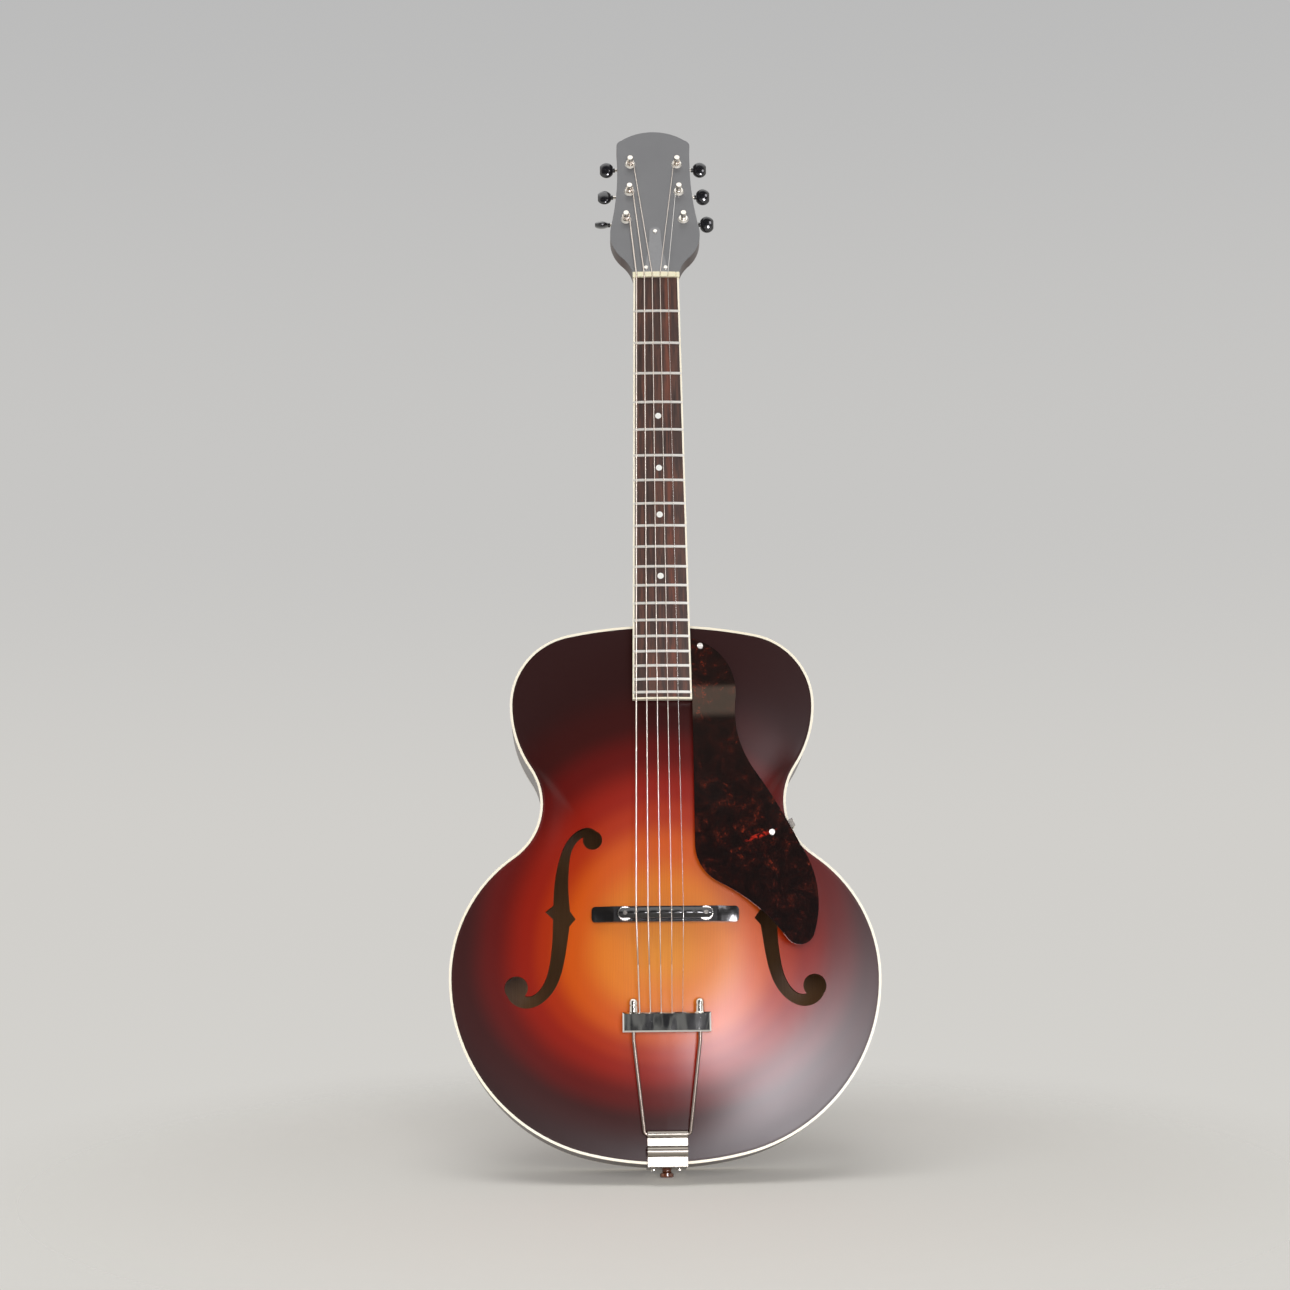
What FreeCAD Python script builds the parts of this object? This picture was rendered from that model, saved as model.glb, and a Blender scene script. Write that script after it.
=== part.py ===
import FreeCAD, Part
import math
import os

# Archtop guitar, standing upright with its soundboard facing -Y.
# Millimetres; +X is the treble side, +Z runs up the neck, and the origin is the
# middle of the rim at the tail, where the strap button is seated.

V = FreeCAD.Vector

# Body outline: widths, their places (the lower bout's by how much its end is flatter than
# a half circle, the upper bout's down from the top edge, the waist's down from the upper
# bout), and the two end radii
BODY_LENGTH = 508.5
LOWER_BOUT = 403.4
LOWER_BOUT_FLAT = 28.7
TAIL_R = 308.0
WAIST = 231.6
WAIST_DROP = 94.5
WAIST_R = 60.5
UPPER_BOUT = 289.0
UPPER_BOUT_DROP = 77.0
SHOULDER_R = 436.0

# Body shell
BODY_DEPTH = 86.0
PLATE_EDGE = 5.5
TOP_RISE = 18.0
BACK_RISE = 16.0
ARCH_POWER = 2.2
ARCH_CONTOURS = 8
ARCH_SMALLEST = 0.12
ARCH_POINTS = 48
ARCH_LEDGE = 2.0
ARCH_OVAL_W = 285.0
ARCH_ROUNDING = 4
HOLLOW_SHARE = 0.98
HOLLOW_DROP = 2.0
RIM_WALL = 2.6
BINDING_W = 2.3
LINING_W = 7.0
LINING_H = 15.0
NECK_BLOCK_W = 76.0
NECK_BLOCK_L = 50.0
TAIL_BLOCK_W = 60.0
TAIL_BLOCK_L = 28.0
BAR_X = 36.0
BAR_W = 6.0
BAR_L = 330.0
BAR_H = 14.0

# Sound holes
EYE_UPPER_R = 9.0
EYE_LOWER_R = 10.9
F_HOLE_X = 98.0
F_HOLE_RISE = 0.316
EYE_UPPER = (-31.0, 70.5)
EYE_LOWER = (41.0, -66.0)
F_HEAD_OUT = ((-36.5, 76.0), (-26.0, 82.5), (-11.0, 75.0), (0.0, 54.0), (5.2, 26.0), (6.0, 10.0))
F_NICK_OUT = (13.5, 4.0)
F_TAIL_OUT = ((6.4, -3.0), (7.0, -22.0), (9.5, -44.0), (15.0, -62.0), (25.5, -73.0), (34.5, -73.0))
F_TAIL_IN = ((50.0, -70.5), (44.5, -80.0), (32.0, -85.0), (16.5, -80.0), (4.0, -66.0), (-4.0, -42.0),
             (-8.0, -17.0), (-9.0, -10.0))
F_NICK_IN = (-14.7, -3.5)
F_HEAD_IN = ((-9.5, 4.0), (-8.0, 27.0), (-8.8, 46.0), (-14.0, 66.0), (-23.0, 73.5), (-31.0, 70.5))

# Scale, neck and fingerboard
SCALE = 635.0
FRET_COUNT = 19
JOIN_FRET = 14
JOIN_OVERHANG = 2.0
NECK_ANGLE = 4.0
BOARD_LIFT = 14.0
BOARD_T = 6.5
BOARD_NUT_W = 44.7
BOARD_END_W = 56.2
BOARD_OVERRUN = 6.6
BOARD_R = 305.0
BOARD_BINDING = 1.7
FRET_W = 2.3
FRET_H = 1.0
FRET_INSET = 0.4
DOT_R = 3.0
DOT_T = 1.5
DOT_FRETS = (5, 7, 9, 12)
NECK_DEPTH_NUT = 15.0
NECK_DEPTH_HEEL = 18.0
HEEL_W = 31.0
HEEL_L = 20.0
HEEL_TOP_L = 60.0
HEEL_TOP_INSET = 1.0
HEEL_SECTIONS = 5
HEEL_CAP_T = 3.0
TENON_W = 22.0
TENON_L = 12.0
TONGUE_INSET = 3.0

# Nut
NUT_T = 5.2
NUT_W = 46.0
NUT_ABOVE = 2.6
SLOT_LIFT = 0.3
SLOT_PLAY = 0.25

# Headstock
HEAD_ANGLE = 14.0
HEAD_DROP = 4.0
HEAD_T = 15.0
VENEER_T = 1.2
HEAD_L = 180.0
HEAD_TOP_W = 74.0
HEAD_CORNER_Z = 166.5
HEAD_CORNER_R = 5.0
HEAD_CORNER_TRIM = 0.8
HEAD_WAIST_W = 73.0
HEAD_WAIST_Z = 136.0
HEAD_STEM_Z = 148.0
HEAD_FLANK_SWELL = 1.4
HEAD_FLANK_Z = 100.6
HEAD_CHEEK_W = 87.2
HEAD_CHEEK_Z = 59.3
HEAD_JAW_W = 86.0
HEAD_JAW_Z = 38.5
HEAD_FLARE_W = 68.5
HEAD_FLARE_Z = 21.8
HEAD_COLLAR_W = 51.7
HEAD_COLLAR_Z = 10.4

# Truss rod
ROD_R = 2.5
ROD_DEPTH = 16.0
ROD_NUT_R = 3.6
ROD_NUT_L = 12.0
ROD_NUT_GAP = 2.4
ROD_NUT_SIDES = 6
ROD_END_GAP = 6.0
POCKET_W = 13.0
POCKET_Z0 = 14.0
POCKET_Z1 = 46.0
COVER_W = 25.0
COVER_L = 57.0
COVER_T = 1.8
COVER_TIP_R = 5.5
COVER_EDGE = 0.7
COVER_BOW_W = 16.5
COVER_BOW_Z = 23.2
COVER_SCREW_X = 9.6
COVER_SCREW_Z = 6.4

# Tuning machines, three a side
POST_Z = (68.3, 103.3, 138.3)
POST_X = (28.5, 24.7, 23.5)
POST_R = 2.9
POST_NECK_R = 2.4
POST_CAP_R = 3.2
POST_CAP_TOP_R = 2.6
POST_CAP_L = 3.0
POST_REACH = 11.0
BUSH_R = 5.3
BUSH_SLEEVE_R = 4.2
BUSH_FACE_R = 4.2
BUSH_T = 2.2
BUSH_L = 9.0
GEAR_TEETH = 14
GEAR_PITCH_R = 4.85
GEAR_TIP_R = 5.35
GEAR_ROOT_R = 4.35
GEAR_TIP_W = 0.4
GEAR_ROOT_W = 1.1
GEAR_T = 2.2
WORM_OFFSET = 7.2
WORM_SHAFT_R = 1.5
WORM_CORE_R = 1.65
WORM_THREAD_R = 0.42
WORM_TURNS = 3
EAR_T = 1.6
EAR_HALF = 3.3
EAR_GAP = 9.6
PLATE_T = 1.0
PLATE_W = 14.0
PLATE_L = 34.0
GEAR_LIFT = 1.2
BUTTON_L = 13.2
BUTTON_W = 16.4
BUTTON_T = 7.6
BUTTON_GAP = 4.2
BUTTON_FOOT_W = 7.9
FERRULE_R = 2.4
BUTTON_TURN = ((120.0, 0.0, 18.0), (30.0, 30.0, 18.0))

# Strings, bass to treble; the last course is left without its string
STRING_D = (1.32, 1.07, 0.81, 0.61, 0.46, 0.33)
STRINGS_FITTED = 5
COURSES = len(STRING_D)
NUT_SPREAD = 38.6
SADDLE_SPREAD = 54.6
BAR_SPREAD = 49.4
ACTION_LIFT = 4.1
WIND_TURNS = 2
WIND_SPACE = 0.48
BEND_R = 16.0
BALL_R = 1.7
BALL_L = 3.2

# Bridge
BASE_L = 137.0
BASE_W = 14.5
BASE_H = 8.0
BASE_WING_H = 4.6
BASE_SCOOP = 0.8
BASE_CROWN_L = 96.0
BASE_RELIEF_L = 56.0
BASE_RELIEF_H = 1.6
STUD_SPACING = 75.0
STUD_R = 2.0
STUD_SEAT = 5.0
WHEEL_R = 6.6
WHEEL_T = 2.4
WHEEL_NOTCHES = 18
WHEEL_NOTCH_R = 0.5
WHEEL_GAP = 2.1
SADDLE_L = 87.0
SADDLE_W = 9.4
SADDLE_END_R = 4.4
SADDLE_RIDGE = 1.6
SADDLE_FALL = 2.5
BASE_END_R = 3.6

# Tailpiece
BAR_BELOW_BRIDGE = 91.1844
BAR_WIDTH = 81.4
BAR_HEIGHT = 18.2
BAR_DEPTH = 8.0
BAR_WALL = 2.0
BAR_FRONT = 29.0
BAR_BEVEL = 1.4
LEG_R = 1.6
LEG_X = 30.6
LEG_STRAIGHT = 25.5
CAP_R = 4.2
CAP_L = 13.5
CAP_GROOVE_R = 0.6
CAP_GROOVE_Z = 6.3
HINGE_Z = 27.5
HINGE_OUT = 6.0
HINGE_HALF = 21.0
BRACKET_W = 37.0
BRACKET_T = 1.6
BRACKET_STANDOFF = 2.0
BRACKET_TAIL = 22.0
BARREL_R = 3.4
BULGE_R = 5.0
BULGE_Z = 12.0
TAIL_SCREW_X = 12.0
TAIL_SCREW_Y = 13.0

# Strap button
STRAP_HEAD_R = 6.5
STRAP_HEAD_T = 3.6
STRAP_CHAMFER = 1.0
STRAP_NECK_R = 4.2
STRAP_FLARE_R = 5.4
STRAP_REACH = 10.0
STRAP_SHANK_R = 3.6
STRAP_SHANK_L = 24.0

# Pickguard, in a plane parallel to the fingerboard
GUARD_T = 2.5
GUARD_LIFT = 12.5
GUARD_DROP = 18.5
GUARD_HIGH = 2.7
GUARD_LOW = -198.0
GUARD_OUTLINE = (
    (55.5, -13.2), (68.9, -58.0), (72.3, -98.0), (84.7, -125.0), (107.4, -161.0), (127.2, -198.8),
    (142.3, -248.0), (137.5, -282.3), (127.0, -292.2), (112.7, -286.6), (86.0, -257.0), (51.0, -233.6),
    (34.8, -219.0),
)
GUARD_SCREW_TOP = (36.6, -4.8)
GUARD_SCREW_LOW = (100.6, -186.2)
STRIP_W = 7.6
STRIP_T = 1.0
STRIP_DROP = 2.0
STRIP_TAIL = 24.0
STRIP_BELOW_WAIST = 22.7
STRIP_FOOT = 34.0
SPACER_R = 4.0

# Screws
SCREW_R = 1.4
SCREW_HEAD_R = 2.7
SMALL_HEAD_R = 1.9
SCREW_HEAD_T = 1.3
SCREW_SLOT = 0.7

# Clearances
SEAT = 0.02
JOINT_GAP = 0.05
RUN_FIT = 0.08
LOOSE = 0.3

# Places worked out from the sizes above
FRONT = -BODY_DEPTH / 2
BACK = BODY_DEPTH / 2
PLATE_IN = FRONT + PLATE_EDGE
LOWER_BOUT_Z = LOWER_BOUT / 2 - LOWER_BOUT_FLAT
UPPER_BOUT_Z = BODY_LENGTH - UPPER_BOUT_DROP
WAIST_Z = UPPER_BOUT_Z - WAIST_DROP
STRIP_RIM_Z = WAIST_Z - STRIP_BELOW_WAIST
BOARD_L = SCALE * (1 - 2 ** (-FRET_COUNT / 12)) + BOARD_OVERRUN


def fret_distance(fret):
    return SCALE * (1 - 2 ** (-fret / 12))


LEAN = math.radians(NECK_ANGLE)
NUT_Y = FRONT - BOARD_LIFT + fret_distance(JOIN_FRET) * math.sin(LEAN)
NUT_Z = BODY_LENGTH + JOIN_OVERHANG + fret_distance(JOIN_FRET) * math.cos(LEAN)
NECK_FRAME = FreeCAD.Placement(V(0, NUT_Y, NUT_Z), FreeCAD.Rotation(V(1, 0, 0), -NECK_ANGLE))
HEAD_FRAME = NECK_FRAME.multiply(
    FreeCAD.Placement(V(0, HEAD_DROP, NUT_T), FreeCAD.Rotation(V(1, 0, 0), -HEAD_ANGLE)))
GUARD_FRAME = FreeCAD.Placement(V(0, FRONT - GUARD_LIFT, BODY_LENGTH - GUARD_DROP),
                                FreeCAD.Rotation(V(1, 0, 0), -NECK_ANGLE))
SADDLE_POINT = NECK_FRAME.multVec(V(0, -FRET_H - ACTION_LIFT, -SCALE))
BRIDGE_Z = SADDLE_POINT.z
CROWN_Y = SADDLE_POINT.y
F_HOLE_Z = BRIDGE_Z + F_HOLE_RISE
BAR_TOP_Z = BRIDGE_Z - BAR_BELOW_BRIDGE
ARCH_TOP = FRONT - TOP_RISE


# General shapes
def box(x0, x1, y0, y1, z0, z1):
    return Part.makeBox(x1 - x0, y1 - y0, z1 - z0, V(x0, y0, z0))


def rod(start, end, radius):
    way = end.sub(start)
    return Part.makeCylinder(radius, way.Length, start, way)


def placed(shape, frame):
    moved = shape.copy()
    moved.Placement = frame.multiply(moved.Placement)
    return moved


def prism(points, y0, y1):
    """Straight-sided plate from (x, z) corners, between two depths."""
    corners = [V(x, y0, z) for x, z in points]
    face = Part.Face(Part.makePolygon(corners + corners[:1]))
    return face.extrude(V(0, y1 - y0, 0))


def arc_edge(start, middle, end):
    return Part.Arc(start, middle, end).toShape()


def mirrored(shape):
    return shape.mirror(V(0, 0, 0), V(1, 0, 0))


def grouped(shapes):
    return Part.makeCompound(shapes)


# Body outline as tangent arcs, tail to shoulder on the treble side
def end_corner_radius(half_width, distance, end_radius):
    """Arc that is upright at the widest point and meets an end arc centred on the axis."""
    return ((2 * end_radius * distance - distance ** 2 - half_width ** 2)
            / (2 * end_radius - 2 * half_width))


def flank_radius(half_width, climb):
    """Arc that is upright at the widest point and meets the waist arc."""
    across = half_width - WAIST / 2 - WAIST_R
    return (across ** 2 + climb ** 2 - WAIST_R ** 2) / (2 * (across + WAIST_R))


def outline_arcs(inset):
    lower, upper = LOWER_BOUT / 2, UPPER_BOUT / 2
    shoulder_drop = BODY_LENGTH - UPPER_BOUT_Z
    corner = end_corner_radius(lower, LOWER_BOUT_Z, TAIL_R)
    flank = flank_radius(lower, WAIST_Z - LOWER_BOUT_Z)
    chest = flank_radius(upper, UPPER_BOUT_Z - WAIST_Z)
    shoulder = end_corner_radius(upper, shoulder_drop, SHOULDER_R)
    tail_turn = math.atan2(LOWER_BOUT_Z - TAIL_R, lower - corner)
    waist_x = WAIST / 2 + WAIST_R
    low_turn = math.atan2(WAIST_Z - LOWER_BOUT_Z, waist_x - (lower - flank))
    high_turn = math.atan2(UPPER_BOUT_Z - WAIST_Z, (upper - chest) - waist_x)
    top_turn = math.atan2(UPPER_BOUT_Z - (BODY_LENGTH - SHOULDER_R), upper - shoulder)
    half, full = math.pi / 2, math.pi
    return [
        (0, TAIL_R, TAIL_R - inset, -half, tail_turn),
        (lower - corner, LOWER_BOUT_Z, corner - inset, tail_turn, 0),
        (lower - flank, LOWER_BOUT_Z, flank - inset, 0, low_turn),
        (waist_x, WAIST_Z, WAIST_R + inset, low_turn + full, high_turn),
        (upper - chest, UPPER_BOUT_Z, chest - inset, high_turn - full, 0),
        (upper - shoulder, UPPER_BOUT_Z, shoulder - inset, 0, top_turn),
        (0, BODY_LENGTH - SHOULDER_R, SHOULDER_R - inset, top_turn, half),
    ]


def outline_wire(inset, y):
    right, left = [], []
    for x, z, radius, begin, finish in outline_arcs(inset):
        turns = (begin, (begin + finish) / 2, finish)
        points = [(x + radius * math.cos(t), z + radius * math.sin(t)) for t in turns]
        right.append(arc_edge(*[V(px, y, pz) for px, pz in points]))
        left.insert(0, arc_edge(*[V(-px, y, pz) for px, pz in reversed(points)]))
    return Part.Wire(right + left)


def outline_slab(inset, y0, y1):
    return Part.Face(outline_wire(inset, y0)).extrude(V(0, y1 - y0, 0))


def outline_ring(outer_inset, inner_inset, y0, y1):
    return outline_slab(outer_inset, y0, y1).cut(outline_slab(inner_inset, y0, y1))


def arch_share(scale):
    """Share of the full rise on the contour drawn at this scale: flat at the edge and the top."""
    return (1 + math.cos(math.pi * scale ** ARCH_POWER)) / 2


def arch_contour(scale, y):
    """Closed contour about the arch's top: the body's outline, rounder as it gets smaller."""
    points = []
    for edge_point in outline_wire(BINDING_W + ARCH_LEDGE, y).discretize(ARCH_POINTS + 1)[:-1]:
        x, z = edge_point.x, edge_point.z - BRIDGE_Z
        reach = math.hypot(x, z)
        length = BODY_LENGTH - BRIDGE_Z if z > 0 else BRIDGE_Z
        oval = 1 / math.hypot(x / reach / (ARCH_OVAL_W / 2), z / reach / length)
        keep = scale ** ARCH_ROUNDING
        stretch = scale * (keep + (1 - keep) * oval / reach)
        points.append(V(x * stretch, y, BRIDGE_Z + z * stretch))
    curve = Part.BSplineCurve()
    curve.interpolate(points, PeriodicFlag=True)
    return Part.Wire(curve.toShape())


def arch_dome(y, rise, plan):
    """Solid dome over the outline, swelling towards -Y through ever smaller contours."""
    step = (1 - ARCH_SMALLEST) / (ARCH_CONTOURS - 1)
    contours = []
    for i in range(ARCH_CONTOURS):
        scale = 1 - i * step
        wire = arch_contour(scale, y - rise * arch_share(scale))
        wire.scale(plan, V(0, y - rise * arch_share(scale), BRIDGE_Z))
        contours.append(wire)
    return Part.makeLoft(contours, True)


def hollow(rise, play):
    """Space under the arch, whose foot lies inside the body so that its edge meets the plate at an angle."""
    return arch_dome(PLATE_IN + HOLLOW_DROP + play, rise + HOLLOW_DROP, HOLLOW_SHARE)


def arched_plate(rise):
    edge = outline_slab(BINDING_W + JOINT_GAP, FRONT, PLATE_IN)
    outside = edge.fuse(arch_dome(FRONT, rise, 1.0))
    return outside.cut(hollow(rise, 0))


# Sound holes: an S-shaped slot with nicks at the middle and a round eye at each end
def f_hole_tool():
    def spline(points):
        curve = Part.BSplineCurve()
        curve.interpolate([V(F_HOLE_X + x, 0, F_HOLE_Z + z) for x, z in points])
        return curve.toShape()

    def line(start, end):
        return Part.makeLine(V(F_HOLE_X + start[0], 0, F_HOLE_Z + start[1]),
                             V(F_HOLE_X + end[0], 0, F_HOLE_Z + end[1]))

    edges = [
        spline(F_HEAD_OUT), line(F_HEAD_OUT[-1], F_NICK_OUT), line(F_NICK_OUT, F_TAIL_OUT[0]),
        spline(F_TAIL_OUT), line(F_TAIL_OUT[-1], F_TAIL_IN[0]), spline(F_TAIL_IN),
        line(F_TAIL_IN[-1], F_NICK_IN), line(F_NICK_IN, F_HEAD_IN[0]), spline(F_HEAD_IN),
        line(F_HEAD_IN[-1], F_HEAD_OUT[0]),
    ]
    through = V(0, 2 * FRONT, 0)
    tool = Part.Face(Part.Wire(edges)).extrude(through)
    for (x, z), radius in ((EYE_UPPER, EYE_UPPER_R), (EYE_LOWER, EYE_LOWER_R)):
        eye = Part.makeCylinder(radius, through.Length, V(F_HOLE_X + x, 0, F_HOLE_Z + z), through)
        tool = tool.fuse(eye)
    return tool


# Body pieces
def neck_tenon(play):
    return box(-TENON_W / 2 - play, TENON_W / 2 + play, PLATE_IN, BACK / 2 + play,
               BODY_LENGTH - TENON_L - play, BODY_LENGTH + TENON_L)


def strap_hole():
    return rod(V(0, 0, -TAIL_BLOCK_L), V(0, 0, STRAP_SHANK_L + LOOSE), STRAP_SHANK_R + JOINT_GAP)


def tail_screw_places():
    return [V(side * TAIL_SCREW_X, TAIL_SCREW_Y, 0) for side in (-1, 1)]


def tail_holes():
    holes = [strap_hole()]
    for place in tail_screw_places():
        low, high = place.add(V(0, 0, -TAIL_BLOCK_L)), place.add(V(0, 0, TAIL_BLOCK_L / 2 + LOOSE))
        holes.append(rod(low, high, SCREW_R + JOINT_GAP))
    return holes[0].multiFuse(holes[1:])


def top_plate():
    hole = f_hole_tool()
    return arched_plate(TOP_RISE).cut(hole).cut(mirrored(hole))


def back_plate():
    return arched_plate(BACK_RISE).mirror(V(0, 0, 0), V(0, 1, 0))


def rim():
    ring = outline_ring(0, RIM_WALL, PLATE_IN, -PLATE_IN)
    return ring.cut(neck_tenon(JOINT_GAP)).cut(tail_holes()).cut(strip_screw_hole())


def top_binding():
    return outline_ring(0, BINDING_W, FRONT, PLATE_IN)


def back_binding():
    return outline_ring(0, BINDING_W, -PLATE_IN, BACK)


def end_block(width, z0, z1):
    core = box(-width / 2, width / 2, PLATE_IN, -PLATE_IN, z0, z1)
    return core.common(outline_slab(RIM_WALL + JOINT_GAP, PLATE_IN, -PLATE_IN))


def neck_block():
    block = end_block(NECK_BLOCK_W, BODY_LENGTH - NECK_BLOCK_L, BODY_LENGTH)
    return block.cut(neck_tenon(JOINT_GAP))


def tail_block():
    return end_block(TAIL_BLOCK_W, 0, TAIL_BLOCK_L).cut(tail_holes())


def kerfed_linings():
    """Four strips, front and back of each side, between the two end blocks."""
    inner = RIM_WALL + LINING_W
    front = outline_ring(RIM_WALL + JOINT_GAP, inner, PLATE_IN, PLATE_IN + LINING_H)
    neck_room = NECK_BLOCK_W / 2 + JOINT_GAP
    tail_room = TAIL_BLOCK_W / 2 + JOINT_GAP
    front = front.cut(box(-neck_room, neck_room, FRONT, BACK, BODY_LENGTH / 2, BODY_LENGTH))
    front = front.cut(box(-tail_room, tail_room, FRONT, BACK, 0, BODY_LENGTH / 2))
    front = front.cut(strip_screw_hole())
    rear = front.mirror(V(0, 0, 0), V(0, 1, 0))
    return grouped(front.Solids + rear.Solids)


def tone_bars():
    """Two spruce bars carved to the hollow of the soundboard."""
    room = hollow(TOP_RISE, JOINT_GAP)
    foot = PLATE_IN - TOP_RISE + BAR_H
    bars = []
    for side in (-1, 1):
        middle = side * BAR_X
        blank = box(middle - BAR_W / 2, middle + BAR_W / 2, ARCH_TOP, foot,
                    BRIDGE_Z - BAR_L / 2, BRIDGE_Z + BAR_L / 2)
        bars += blank.common(room).Solids
    return grouped(bars)


# Neck, in its own frame: x across, y down into the wood, z up, zero at the nut's front edge
def board_half(distance):
    return (BOARD_NUT_W + (BOARD_END_W - BOARD_NUT_W) * distance / BOARD_L) / 2


def board_plan(inset, length):
    top, end = board_half(0) - inset, board_half(length) - inset
    return [(-top, 0), (top, 0), (end, -length), (-end, -length)]


def crown_cylinder(lift):
    """Round bar whose front is the fingerboard's camber, raised by lift."""
    radius = BOARD_R + lift
    return rod(V(0, BOARD_R, NUT_T * 2), V(0, BOARD_R, -BOARD_L - NUT_T), radius)


def board_block():
    return prism(board_plan(0, BOARD_L), -FRET_H, BOARD_T).common(crown_cylinder(0))


def board_core():
    return prism(board_plan(BOARD_BINDING, BOARD_L - BOARD_BINDING), -FRET_H, BOARD_T)


def dot_places():
    return [V(0, 0, -(fret_distance(n - 1) + fret_distance(n)) / 2) for n in DOT_FRETS]


def fingerboard():
    board = board_block().common(board_core())
    for place in dot_places():
        board = board.cut(rod(place.add(V(0, -DOT_T, 0)), place.add(V(0, DOT_T, 0)), DOT_R + SEAT))
    return placed(board, NECK_FRAME)


def fingerboard_binding():
    return placed(board_block().cut(board_core()), NECK_FRAME)


def fret_markers():
    dots = []
    for place in dot_places():
        blank = rod(place.add(V(0, -DOT_T, 0)), place.add(V(0, DOT_T - SEAT, 0)), DOT_R)
        dots.append(placed(blank.common(crown_cylinder(0)), NECK_FRAME))
    return grouped(dots)


def frets():
    wires = []
    crown = crown_cylinder(FRET_H).cut(crown_cylinder(SEAT))
    for number in range(1, FRET_COUNT + 1):
        distance = fret_distance(number)
        half = board_half(distance) - FRET_INSET
        blank = box(-half, half, -FRET_H, BOARD_T / 2,
                    -distance - FRET_W / 2, -distance + FRET_W / 2)
        wires.append(placed(blank.common(crown), NECK_FRAME))
    return grouped(wires)


def neck_section(distance, depth):
    """D-shaped section below the glue face, at a distance from the nut."""
    half = board_half(max(distance, 0))
    left, right = V(-half, BOARD_T, -distance), V(half, BOARD_T, -distance)
    belly = V(0, BOARD_T + depth, -distance)
    return Part.Wire([arc_edge(left, belly, right), Part.makeLine(right, left)])


def heel_section(y, width, length):
    """D-shaped section of the heel, flat against the body, at one depth."""
    base, half = BODY_LENGTH - HEEL_CAP_T, width / 2
    knee = max(length / 3, length - half)
    a, b = V(-half, y, base), V(-half, y, base + knee)
    c, d = V(half, y, base + knee), V(half, y, base)
    nose = arc_edge(b, V(0, y, base + length), c)
    return Part.Wire([Part.makeLine(a, b), nose, Part.makeLine(c, d), Part.makeLine(d, a)])


def heel():
    """The heel swells from its cap up into the neck shaft."""
    board_w = 2 * board_half(fret_distance(JOIN_FRET))
    rear = BACK - HEEL_CAP_T
    front = FRONT - BOARD_LIFT + BOARD_T + NECK_DEPTH_HEEL / 2
    sections = []
    for i in range(HEEL_SECTIONS):
        share = i / (HEEL_SECTIONS - 1)
        width = HEEL_W + (board_w - 2 * HEEL_TOP_INSET - HEEL_W) * share
        length = HEEL_L + (HEEL_TOP_L - HEEL_L) * share ** 2
        sections.append(heel_section(rear + (front - rear) * share, width, length))
    return Part.makeLoft(sections, True)


def body_room():
    """Space that the closed body fills below its front edge."""
    return outline_slab(-JOINT_GAP, FRONT - JOINT_GAP, BACK + HEEL_CAP_T)


def tongue():
    """Support under the fingerboard's end, scribed to the arch of the soundboard."""
    reach = BOARD_L - BOARD_BINDING - TONGUE_INSET
    blank = placed(prism(board_plan(TONGUE_INSET, reach), BOARD_T, BOARD_T + BOARD_LIFT), NECK_FRAME)
    room = box(-BOARD_END_W, BOARD_END_W, FRONT - 2 * BOARD_LIFT, FRONT - JOINT_GAP,
               BODY_LENGTH / 2, BODY_LENGTH + NUT_T)
    return blank.common(room).cut(arch_dome(FRONT - JOINT_GAP, TOP_RISE, 1.0))


def rod_axis(z):
    return V(0, ROD_DEPTH, z)


def head_outline(y):
    """Headstock plan: flared above the nut, waisted, with a bowed top."""
    top, low_corner = HEAD_TOP_W / 2, HEAD_CORNER_Z - HEAD_CORNER_R
    side = [
        (BOARD_NUT_W / 2, 0),
        (HEAD_COLLAR_W / 2, HEAD_COLLAR_Z),
        (HEAD_FLARE_W / 2, HEAD_FLARE_Z),
        (HEAD_JAW_W / 2, HEAD_JAW_Z),
        (HEAD_CHEEK_W / 2, HEAD_CHEEK_Z),
        (HEAD_WAIST_W / 2 + HEAD_FLANK_SWELL, HEAD_FLANK_Z),
        (HEAD_WAIST_W / 2, HEAD_WAIST_Z),
        (HEAD_WAIST_W / 2, HEAD_STEM_Z),
        (top, low_corner),
        (top - HEAD_CORNER_TRIM, HEAD_CORNER_Z - HEAD_CORNER_R / 4),
        (top - HEAD_CORNER_R, HEAD_CORNER_Z + HEAD_CORNER_R / 2),
    ]
    right = [V(x, y, z) for x, z in side]
    left = [V(-x, y, z) for x, z in reversed(side)]
    loop = right + [V(0, y, HEAD_L)] + left
    edges = [arc_edge(*loop[i:i + 3]) for i in range(0, len(loop) - 2, 2)]
    edges.append(Part.makeLine(left[-1], right[0]))
    return Part.Wire(edges)


def head_slab(y0, y1):
    return Part.Face(head_outline(y0)).extrude(V(0, y1 - y0, 0))


def bush_holes():
    holes = []
    for post in post_places():
        holes.append(rod(post.add(V(0, -HEAD_T, 0)), post.add(V(0, HEAD_T * 2, 0)),
                         BUSH_SLEEVE_R + JOINT_GAP))
    return holes[0].multiFuse(holes[1:])


def rod_pocket():
    """Opening over the truss rod nut, in the neck's frame."""
    floor = ROD_DEPTH + ROD_NUT_R + LOOSE * 3
    return box(-POCKET_W / 2, POCKET_W / 2, -HEAD_T, floor, POCKET_Z0, POCKET_Z1)


def rod_channel():
    reach = fret_distance(JOIN_FRET)
    slot = box(-ROD_R - LOOSE, ROD_R + LOOSE, BOARD_T, ROD_DEPTH, -reach, POCKET_Z0)
    bore = rod(rod_axis(-reach), rod_axis(POCKET_Z0 + LOOSE), ROD_R + LOOSE)
    return bore.fuse(slot.cut(box(-ROD_R * 2, ROD_R * 2, 0, ROD_DEPTH, 0, POCKET_Z0)))


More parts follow.
